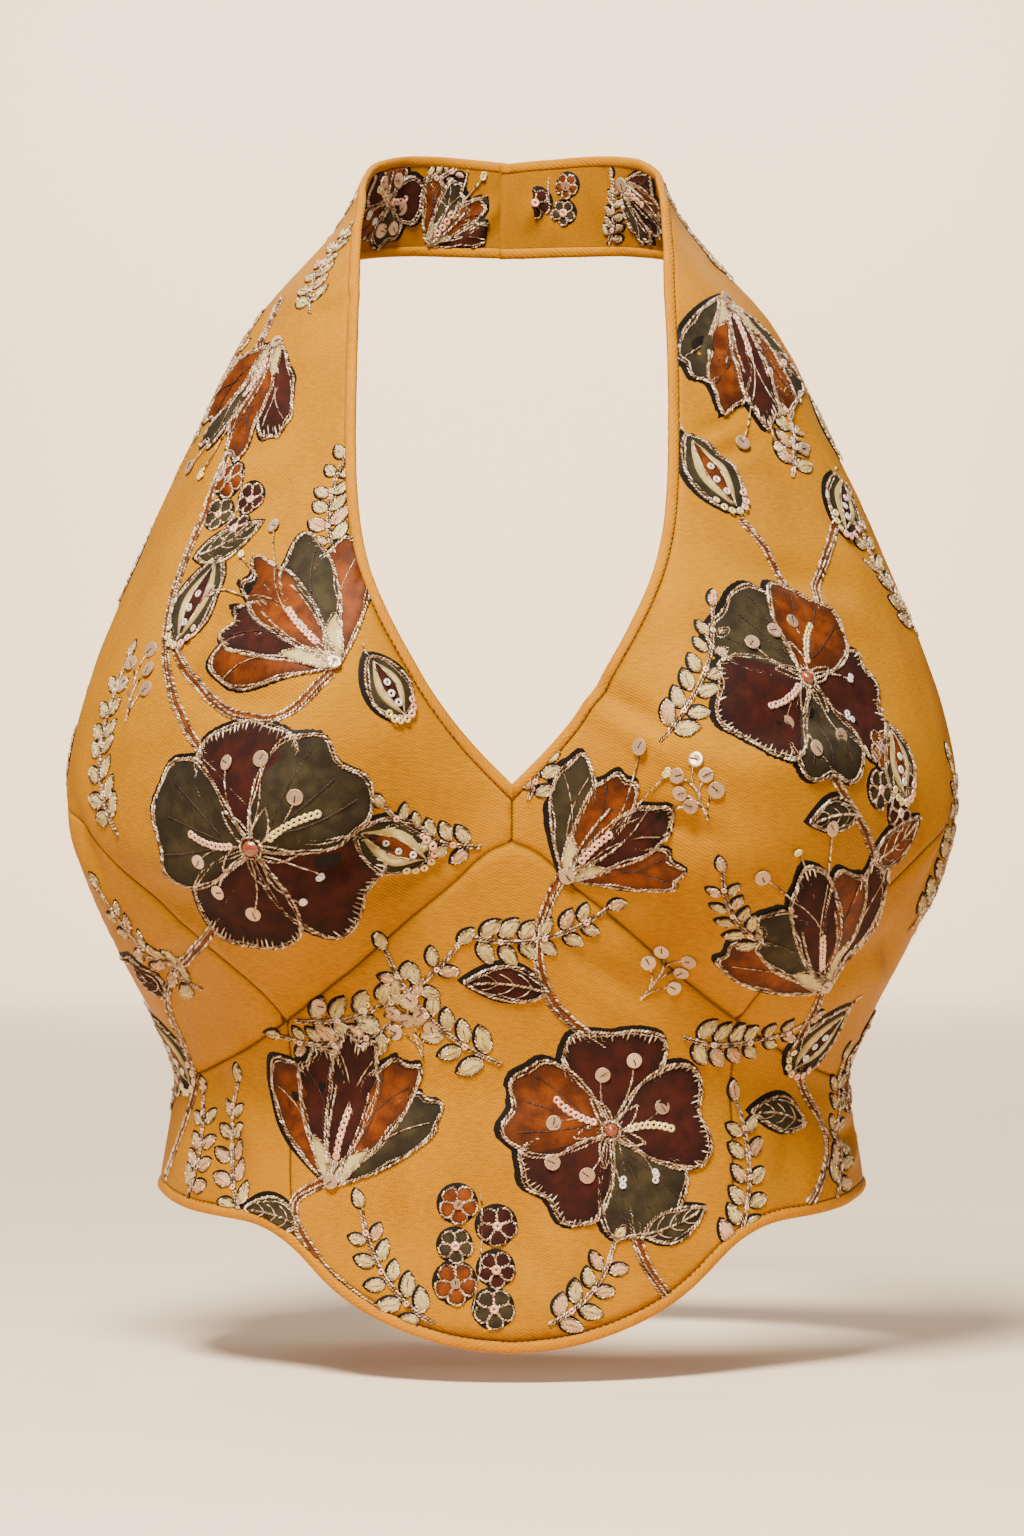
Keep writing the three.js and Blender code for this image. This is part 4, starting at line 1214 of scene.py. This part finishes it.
# seat, turn, length and the size of the leaves
SPRIGS = (
    (front(-80, -52), 6, 53, 9.3), (front(-68, -150), 4, 58, 10.0), (front(-152, -258), 12, 72, 10.6),
    (front(-84, -330), -68, 75, 10.6), (front(-18, -296), -80, 56, 10.0), (front(56, -222), -16, 60, 10.0),
    (front(-4, -346), 44, 63, 10.6), (front(-30, -446), 34, 53, 10.0), (front(-106, -408), 6, 53, 10.0),
    (front(-128, -402), -4, 41, 9.3), (front(84, -424), -6, 63, 10.6), (front(128, -402), -12, 56, 10.0),
    (front(156, -296), -6, 70, 10.6), (front(88, -36), -8, 41, 8.7), (front(110, -118), -8, 60, 10.0),
    (front(14, -446), -40, 41, 10.0), ((84, -180), 4, 60, 10.0), ((-90, -104), -4, 56, 10.0),
    ((102, -396), 6, 60, 10.0), ((-104, -396), -6, 60, 10.0), ((112, -340), -24, 53, 10.0),
    ((140, -396), -16, 53, 10.0), ((-142, -396), 12, 53, 10.0), ((162, -316), 70, 53, 10.0),
    ((-160, -316), -64, 49, 10.0), (front(6, -244), -4, 30, 8.1), (front(-12, -262), 64, 43, 8.7),
    (front(-120, -318), 44, 60, 10.0), (front(66, -336), -84, 54, 9.3), (front(-46, -330), 100, 48, 8.7),
    (front(98, -300), 40, 43, 8.7), ((104, -12), 30, 30, 7.2), ((-104, -22), -20, 34, 7.6),
    ((-168, 10), 120, 26, 7.2),
)

# seat, turn, how many flowers and their size
CLUSTERS = (
    (front(-12, -396), 176, 6, 8), (front(-104, -116), 176, 4, 7.5), (front(146, -222), 170, 4, 8),
    (front(100, -60), 172, 3, 7), ((-92, -330), 176, 5, 8), ((92, -330), 180, 5, 8),
    ((-170, -330), 180, 4, 8),
)

# seat, turn and length
BERRIES = (
    (front(-150, -214), 6, 30), (front(50, -322), -30, 26), (front(-34, -344), 20, 24),
    (front(74, -252), 20, 24), ((-112, -300), 10, 28), ((120, -396), 10, 30),
)


def lay_out_flowers():
    """All the work on the outside of the cloth, from the lowest layer up."""
    for run in VINES:
        vine(run)
    for motif, rows in (
        (sprig, SPRIGS), (berries, BERRIES), (cluster, CLUSTERS), (leaf, LEAVES), (bud, BUDS), (fan, FANS),
        (blossom, BLOSSOMS),
    ):
        for row in rows:
            motif(*row)


def line_the_band():
    """The same work on the inside of the neck band, where it shows behind the neck opening."""
    fan((-150, -14), 40, 32, "mror", inner=True)
    blossom((-122, 2), 10, 20, WARM_FIVE, inner=True)
    leaf((-168, -6), -60, 24, "olive", inner=True)
    sprig((-140, 12), 60, 26, 5, inner=True)
    fan((128, 10), 130, 30, "omrm", inner=True)
    cluster((164, 14), 178, 3, 6, inner=True)
    sprig((146, -14), 12, 28, 5.5, inner=True)


# Materials


def node(tree, kind, inputs=None, **settings):
    """A shader node with its settings, and its inputs given as values or linked from sockets."""
    made = tree.nodes.new("ShaderNode" + kind)
    for name, value in settings.items():
        setattr(made, name, value)
    for name, value in (inputs or {}).items():
        if isinstance(value, bpy.types.NodeSocket):
            tree.links.new(value, made.inputs[name])
        else:
            made.inputs[name].default_value = value
    return made


def new_material(name, **fixed):
    """A material and its tree. Values that are the same all over are set on the shader's sockets."""
    material = bpy.data.materials.new(name)
    material.use_nodes = True
    shader = material.node_tree.nodes["Principled BSDF"]
    for socket, value in fixed.items():
        shader.inputs[socket.replace("_", " ").title().replace("Ior", "IOR")].default_value = value
    return material, material.node_tree


def surfaced(tree, colour, relief, strength, depth):
    """Gives the shader its colour and the fine relief of its surface."""
    shader = tree.nodes["Principled BSDF"]
    tree.links.new(colour, shader.inputs["Base Color"])
    bump = node(tree, "Bump", {"Height": relief, "Strength": strength, "Distance": depth})
    tree.links.new(bump.outputs[0], shader.inputs["Normal"])


def stored(tree, name):
    """What a mesh keeps at its points: weave is a place in millimetres, and the rest are single values."""
    return node(tree, "Attribute", attribute_name=name).outputs["Vector" if name == "weave" else "Fac"]


def maths(tree, operation, *values):
    return node(tree, "Math", dict(enumerate(values)), operation=operation).outputs[0]


def waves(tree, place, pitch, degrees):
    """Even waves across the weave at an angle, from -1 to 1."""
    turn, frequency = math.radians(degrees), 2 * math.pi / pitch
    way = (math.cos(turn) * frequency, math.sin(turn) * frequency, 0)
    run = node(tree, "VectorMath", {0: place, 1: way}, operation="DOT_PRODUCT")
    return maths(tree, "SINE", run.outputs["Value"])


def blended(tree, factor, a, b):
    """A colour between a and b."""
    mix = node(tree, "Mix", {0: factor}, data_type="RGBA")
    for socket, value in ((mix.inputs[6], a), (mix.inputs[7], b)):
        if isinstance(value, bpy.types.NodeSocket):
            tree.links.new(value, socket)
        else:
            socket.default_value = (*value, 1)
    return mix.outputs[2]


def level(tree, value, low, high, to_low=0.0, to_high=1.0):
    """A value mapped from one range to another and held inside it."""
    inputs = {"Value": value, "From Min": low, "From Max": high, "To Min": to_low, "To Max": to_high}
    return node(tree, "MapRange", inputs).outputs["Result"]


def scaled_noise(tree, place, size_mm, detail=2.0, stretch=(1, 1, 1)):
    """Noise with features of about this size, on a place in millimetres."""
    scaled = node(tree, "VectorMath", {0: place, 1: [k / size_mm for k in stretch]}, operation="MULTIPLY")
    inputs = {"Vector": scaled.outputs[0], "Scale": 1.0, "Detail": detail}
    return node(tree, "TexNoise", inputs).outputs["Fac"]


def darker(colour, share):
    return tuple(share * c for c in colour)


def satin(name, light, dark, roughness=0.48, twill=1.1):
    """Satin-faced twill: fine slanting ribs, slubs along the yarns, slow changes of tone, and painted shade
    along the seams.
    """
    material, tree = new_material(
        name, roughness=roughness, specular_ior_level=0.08, specular_tint=(1.0, 0.5, 0.03, 1)
    )
    place = stored(tree, "weave")
    ribs = waves(tree, place, twill, 62)
    yarns = waves(tree, place, 0.9, -30)
    slubs = scaled_noise(tree, place, 1.4, 2, (0.35, 1.6, 1))
    tone = level(tree, scaled_noise(tree, place, 34, 3), 0.3, 0.7, 0.1, 0.75)
    fleck = level(tree, maths(tree, "MULTIPLY", ribs, yarns), -1, 1, -0.45, 0.45)
    tone = maths(tree, "ADD", maths(tree, "ADD", tone, fleck), level(tree, slubs, 0.3, 0.7, -0.4, 0.4))
    # painted shade along the seams: the border turns towards a third of the dark colour
    seam_shade = level(tree, stored(tree, "seam_shade"), 0.72, 1, 0, 0.95)
    colour = blended(tree, seam_shade, blended(tree, tone, light, dark), darker(dark, 0.3))
    surfaced(tree, colour, maths(tree, "MULTIPLY_ADD", ribs, 0.35, slubs), 0.5, 0.0003)
    return material


def applied_fabric(name, light, dark, rim, roughness):
    """Applied cloth: mottled, darker towards its edge, each piece a little different."""
    material, tree = new_material(name, roughness=roughness, specular_ior_level=0.12)
    place = stored(tree, "weave")
    nap = scaled_noise(tree, place, 0.7, 2, (0.5, 1.5, 1))
    piece_tone = maths(tree, "MULTIPLY_ADD", stored(tree, "tone"), 0.35, -0.15)
    spots = level(tree, scaled_noise(tree, place, 7, 5), 0.36, 0.64)
    colour = blended(tree, maths(tree, "ADD", spots, piece_tone), light, dark)
    colour = blended(tree, level(tree, nap, 0.4, 0.75, 0, 0.3), colour, rim)
    colour = blended(tree, level(tree, stored(tree, "rim"), 0.55, 1.0, 0, 0.75), colour, rim)
    surfaced(tree, colour, maths(tree, "MULTIPLY_ADD", waves(tree, place, 0.8, 35), 0.3, nap), 0.35, 0.00015)
    return material


def thread(name, dark, middle, light, metallic=0.0, roughness=0.45):
    """Thread whose stitches each have their own tone."""
    material, tree = new_material(name, metallic=metallic, roughness=roughness)
    tone = stored(tree, "tone")
    low = blended(tree, level(tree, tone, 0.0, 0.5), dark, middle)
    colour = blended(tree, level(tree, tone, 0.5, 1.0), low, light)
    place = node(tree, "TexCoord").outputs["Object"]
    plies = node(tree, "TexNoise", {"Vector": place, "Scale": 2600.0, "Detail": 1.0}).outputs["Fac"]
    surfaced(tree, colour, plies, 0.4, 0.0001)
    return material


def sequin(name, face, edge, roughness=0.28, metallic=0.25, coat=0.4):
    """A shiny disc whose colour turns towards its edge colour where it is seen at a grazing angle, and a
    little from one disc to the next. The lighter edge colours are a painted sheen, and the pearl's is a shift
    of hue. The troughs of its grooves get painted shade.
    """
    material, tree = new_material(
        name, metallic=metallic, roughness=roughness, coat_weight=coat, coat_roughness=0.15
    )
    facing = node(tree, "LayerWeight", {"Blend": 0.35}).outputs["Facing"]
    shift = maths(tree, "MULTIPLY_ADD", stored(tree, "tone"), 0.5, facing)
    grooves = waves(tree, stored(tree, "weave"), 0.55, 90)
    # painted sheen: the colour turns towards the edge colour where the disc is seen at a grazing angle
    colour = blended(tree, level(tree, shift, 0.1, 1.0), face, edge)
    # painted shade: the troughs of the grooves are darkened
    colour = blended(tree, level(tree, grooves, -1, 0.2, 0.3, 0), colour, darker(face, 0.45))
    surfaced(tree, colour, grooves, 0.4, 0.0001)
    return material


# Fabric, its material's name, its light, dark and rim colours, and its roughness
FABRICS = (
    ("maroon", "maroon_velvet", (0.046, 0.0078, 0.0032), (0.021, 0.0042, 0.0024), (0.009, 0.004, 0.003),
     0.78),
    ("olive", "olive_velvet", (0.046, 0.033, 0.013), (0.021, 0.0145, 0.0065), (0.010, 0.007, 0.004), 0.78),
    ("rust", "rust_silk", (0.2, 0.041, 0.0015), (0.075, 0.0145, 0.0012), (0.022, 0.006, 0.002), 0.6),
    ("sage", "sage_silk", (0.58, 0.46, 0.19), (0.42, 0.31, 0.1), (0.22, 0.14, 0.035), 0.5),
    ("blush", "blush_silk", (0.66, 0.36, 0.2), (0.48, 0.24, 0.11), (0.24, 0.1, 0.04), 0.5),
    ("dark_backing", "dark_silk", (0.008, 0.005, 0.003), (0.005, 0.003, 0.002), (0.004, 0.003, 0.002), 0.6),
)
# Thread, its dark, middle and light colours, how metallic it is and its roughness
THREADS = (
    ("silver_cord", (0.075, 0.032, 0.014), (0.44, 0.27, 0.14), (0.98, 0.8, 0.58), 0.35, 0.32),
    ("gold_thread", (0.3, 0.17, 0.04), (0.55, 0.38, 0.12), (0.85, 0.66, 0.3), 0.3, 0.4),
    ("dark_thread", (0.012, 0.006, 0.004), (0.03, 0.012, 0.008), (0.07, 0.025, 0.015)),
    # painted shade: the cloth's own hue darkened, for the shade in the ditch beside the bindings
    ("ditch_shade_thread", (0.06, 0.02, 0.003), (0.11, 0.04, 0.004), (0.2, 0.075, 0.006)),
)
# Sequin or bead, its face and edge colours (the edge colour, mostly lighter, is a painted sheen at grazing
# angles), its roughness, how metallic it is and its coat
SEQUINS = (
    ("cup_sequin", (0.42, 0.235, 0.12), (0.85, 0.58, 0.38), 0.22, 0.45),
    ("pearl_sequin", (0.80, 0.62, 0.52), (0.7, 0.78, 0.8)),
    ("pink_sequin", (0.80, 0.34, 0.2), (0.96, 0.66, 0.5)),
    ("gold_sequin", (0.74, 0.52, 0.14), (0.95, 0.82, 0.45)),
    ("rust_bead", (0.22, 0.035, 0.006), (0.34, 0.07, 0.01), 0.22, 0.0, 0.8),
)


def make_materials():
    return {
        "cloth": satin("marigold_satin", (0.42, 0.168, 0.0003), (0.305, 0.115, 0.0002)),
        # painted shade: the inside of the cloth is a darker, duller copy of the satin
        "lining": satin("marigold_lining", (0.34, 0.13, 0.001), (0.25, 0.09, 0.001), roughness=0.7),
        "binding": satin("marigold_binding", (0.47, 0.18, 0.0004), (0.36, 0.13, 0.0003), 0.5, 1.2),
        **{fabric: applied_fabric(*row) for fabric, *row in FABRICS},
        **{row[0]: thread(*row) for row in THREADS},
        **{row[0]: sequin(*row) for row in SEQUINS},
    }


# The garment


def make_panels(materials):
    """The nine cloth panels, with the flat size and area of each."""
    grids = panel_grids()
    faces = [materials["cloth"], materials["lining"]]
    panels = {}
    for name in ("bust", "bust_side", "midriff_side", "back"):
        panels[f"{name}_left"] = shell(f"cloth_{name}_left", grids[name], faces)
        panels[f"{name}_right"] = shell(f"cloth_{name}_right", mirrored(grids[name])[:, ::-1], faces)
    panels["midriff_centre"] = shell("cloth_midriff_centre", grids["midriff_centre"], faces)
    for name, (made, _, _) in panels.items():
        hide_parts(name)
    return panels


def make_bindings(materials):
    """The bindings of the neckline, the armholes and the hem, and the stitches beside them."""
    runs = {
        "neck_binding_left": (NECK_EDGE, beside(NECK_EDGE, -BINDING_WIDTH - BINDING_LAP)),
        "armhole_binding_left": (ARMHOLE_EDGE, beside(ARMHOLE_EDGE, -BINDING_WIDTH - BINDING_LAP)),
    }
    for name, pair in list(runs.items()):
        runs[name.replace("left", "right")] = tuple(mirrored(run)[::-1] for run in pair)
    hem_seam = beside(HEM_EDGE, BINDING_WIDTH + BINDING_LAP)
    runs["hem_binding"] = tuple(joined(mirrored(run)[::-1], run) for run in (HEM_EDGE, hem_seam))
    for name, (edge, seam) in runs.items():
        made = bound(f"rolled_{name}", edge, seam, materials["binding"])
        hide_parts(name)
    for stitch_run in (NECK_STITCH, ARMHOLE_STITCH, HEM_STITCH):
        for run in (stitch_run, mirrored(stitch_run)):
            sew_hidden(run)


HIDDEN_PITCH = 2.6


def sew_hidden(run):
    """The line of stitches that sinks in beside a binding, dark as painted shade of the ditch there."""
    points, up = cloth(run, -0.1)
    at = lengths_along(points)
    t = np.arange(1.2, at[-1], HIDDEN_PITCH)
    centre = read_at(t, at, points)
    ahead = unit(read_at(t + 0.5, at, points) - centre)
    add_stitches("ditch_shade_thread", centre, ahead, unit(read_at(t, at, up)), 2.5, 0.55, 0.45)


def make_work(materials):
    """One mesh for each thread, sequin and applied fabric."""
    lay_out_flowers()
    line_the_band()
    for fabric, parts in APPLIED.items():
        points, faces, *values = gather(parts)
        kept = dict(zip(("weave", "tone", "rim"), values))
        add_mesh(f"applied_{fabric}", points, faces, [materials[fabric]], attributes=kept)
    grain = stitch_template()
    for name, batches in STITCHES.items():
        for k, part in enumerate(parts_of(batches)):
            points, faces, kept = stamped(*grain, part)
            label = f"stitched_{name}_{k + 1}"
            add_mesh(label, points, faces, [materials[name]], attributes={"tone": kept["tone"]})
    profiles = {"cup_sequin": (CUP_SEQUIN, 18), "rust_bead": (BEAD, 12)}
    for name, batches in DISCS.items():
        shape = turned_template(*profiles.get(name, (RING_SEQUIN, 10)))
        points, faces, kept = stamped(*shape, joined_columns(batches))
        add_mesh(f"sewn_{name}", points, faces, [materials[name]], attributes=kept)


# Floor, light and camera

EYE_DISTANCE = 2.2  # from the middle of the torso's depth
EYE_HEIGHT = -0.232  # from the nape
VIEW_HEIGHT = 0.622  # of the picture at the middle of the torso's depth
SENSOR = 36
FLOOR_BELOW_HEM = 0.012
FLOOR_FRONT = -0.8
SWEEP_HALF_WIDTH = 0.95
SWEEP_START = 3.9  # behind the garment, further than any view of its back stands
SWEEP_RADIUS = 0.8
SWEEP_HEIGHT = 1.9
SWEEP_STEPS = 12

# Pairs of lights over the sweep: how far behind, how high, where they aim (y, z) and their power
WASHES = (
    (1.1, 1.15, (1.5, -0.47), 9),
    (2.4, 1.15, (2.8, -0.47), 21),
    (3.5, 0.9, (4.7, 0.1), 36),
)
WASH_OUT, WASH_AIM_OUT = 0.75, 0.1  # to each side of the middle
WASH_SIZE = 0.8
WASH_COLOUR = (1.0, 0.96, 0.92)

# Light, place, aim, size, power and colour
LIGHTS = (
    ("key", (-0.36, -1.35, 1.45), (0, -0.05, -0.25), 0.7, 152, (1.0, 0.96, 0.9)),
    ("fill", (1.3, -1.9, 0.1), (0, -0.05, -0.25), 1.2, 6, (1.0, 0.95, 0.9)),
)
ROOM_COLOUR = (1.0, 0.96, 0.91, 1)
ROOM_STRENGTH = 0.23
PAPER_COLOUR = (0.88, 0.68, 0.46, 1)


def make_stage(low):
    """A pale floor that curves up into a backdrop, soft lights and the camera."""
    floor = low - FLOOR_BELOW_HEM
    turns = np.linspace(0, math.pi / 2, SWEEP_STEPS + 1)
    curve = [(SWEEP_START + SWEEP_RADIUS * math.sin(t), SWEEP_RADIUS * (1 - math.cos(t))) for t in turns]
    profile = [(FLOOR_FRONT, 0.0), *curve, (SWEEP_START + SWEEP_RADIUS, SWEEP_HEIGHT)]
    points = [(x, y, floor + z) for y, z in profile for x in (-SWEEP_HALF_WIDTH, SWEEP_HALF_WIDTH)]
    faces = [(2 * k, 2 * k + 1, 2 * k + 3, 2 * k + 2) for k in range(len(profile) - 1)]
    mesh = bpy.data.meshes.new("backdrop")
    mesh.from_pydata(points, [], faces)
    mesh.polygons.foreach_set("use_smooth", [True] * len(faces))
    backdrop = bpy.data.objects.new("backdrop", mesh)
    bpy.context.collection.objects.link(backdrop)
    paper = new_material("backdrop_paper", roughness=0.95, base_color=PAPER_COLOUR)[0]
    mesh.materials.append(paper)

    world = bpy.data.worlds.new("soft_room")
    bpy.context.scene.world = world
    world.use_nodes = True
    background = world.node_tree.nodes["Background"].inputs
    background["Color"].default_value = ROOM_COLOUR
    background["Strength"].default_value = ROOM_STRENGTH

    for light in LIGHTS:
        add_light(*light)
    for side in (-1, 1):
        for k, (away, height, aim, power) in enumerate(WASHES):
            place, aim = (side * WASH_OUT, away, height), (side * WASH_AIM_OUT, *aim)
            add_light(f"wash_{k}_{side}", place, aim, WASH_SIZE, power, WASH_COLOUR)

    camera_data = bpy.data.cameras.new("camera")
    camera_data.sensor_fit = "VERTICAL"
    camera_data.sensor_height = SENSOR
    camera_data.lens = SENSOR * EYE_DISTANCE / VIEW_HEIGHT
    camera = bpy.data.objects.new("camera", camera_data)
    camera.location = (0, -EYE_DISTANCE - NAPE_DEPTH * MM, EYE_HEIGHT)
    camera.rotation_euler = (math.pi / 2, 0, 0)
    bpy.context.collection.objects.link(camera)
    bpy.context.scene.camera = camera


def add_light(name, place, aim, size, power, colour):
    data = bpy.data.lights.new(name, "AREA")
    data.shape, data.size, data.energy, data.color = "DISK", size, power, colour
    light = bpy.data.objects.new(name, data)
    light.location = place
    light.visible_camera = False
    away = np.array(place) - np.array(aim)
    tilt = math.atan2(math.hypot(away[0], away[1]), away[2])
    light.rotation_euler = (tilt, 0, math.atan2(away[0], -away[1]))
    bpy.context.collection.objects.link(light)


def main():
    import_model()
    cad_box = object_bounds()
    materials = make_materials()
    panels = make_panels(materials)
    make_bindings(materials)
    make_work(materials)
    make_stage(float(cad_box[0][2]))


main()
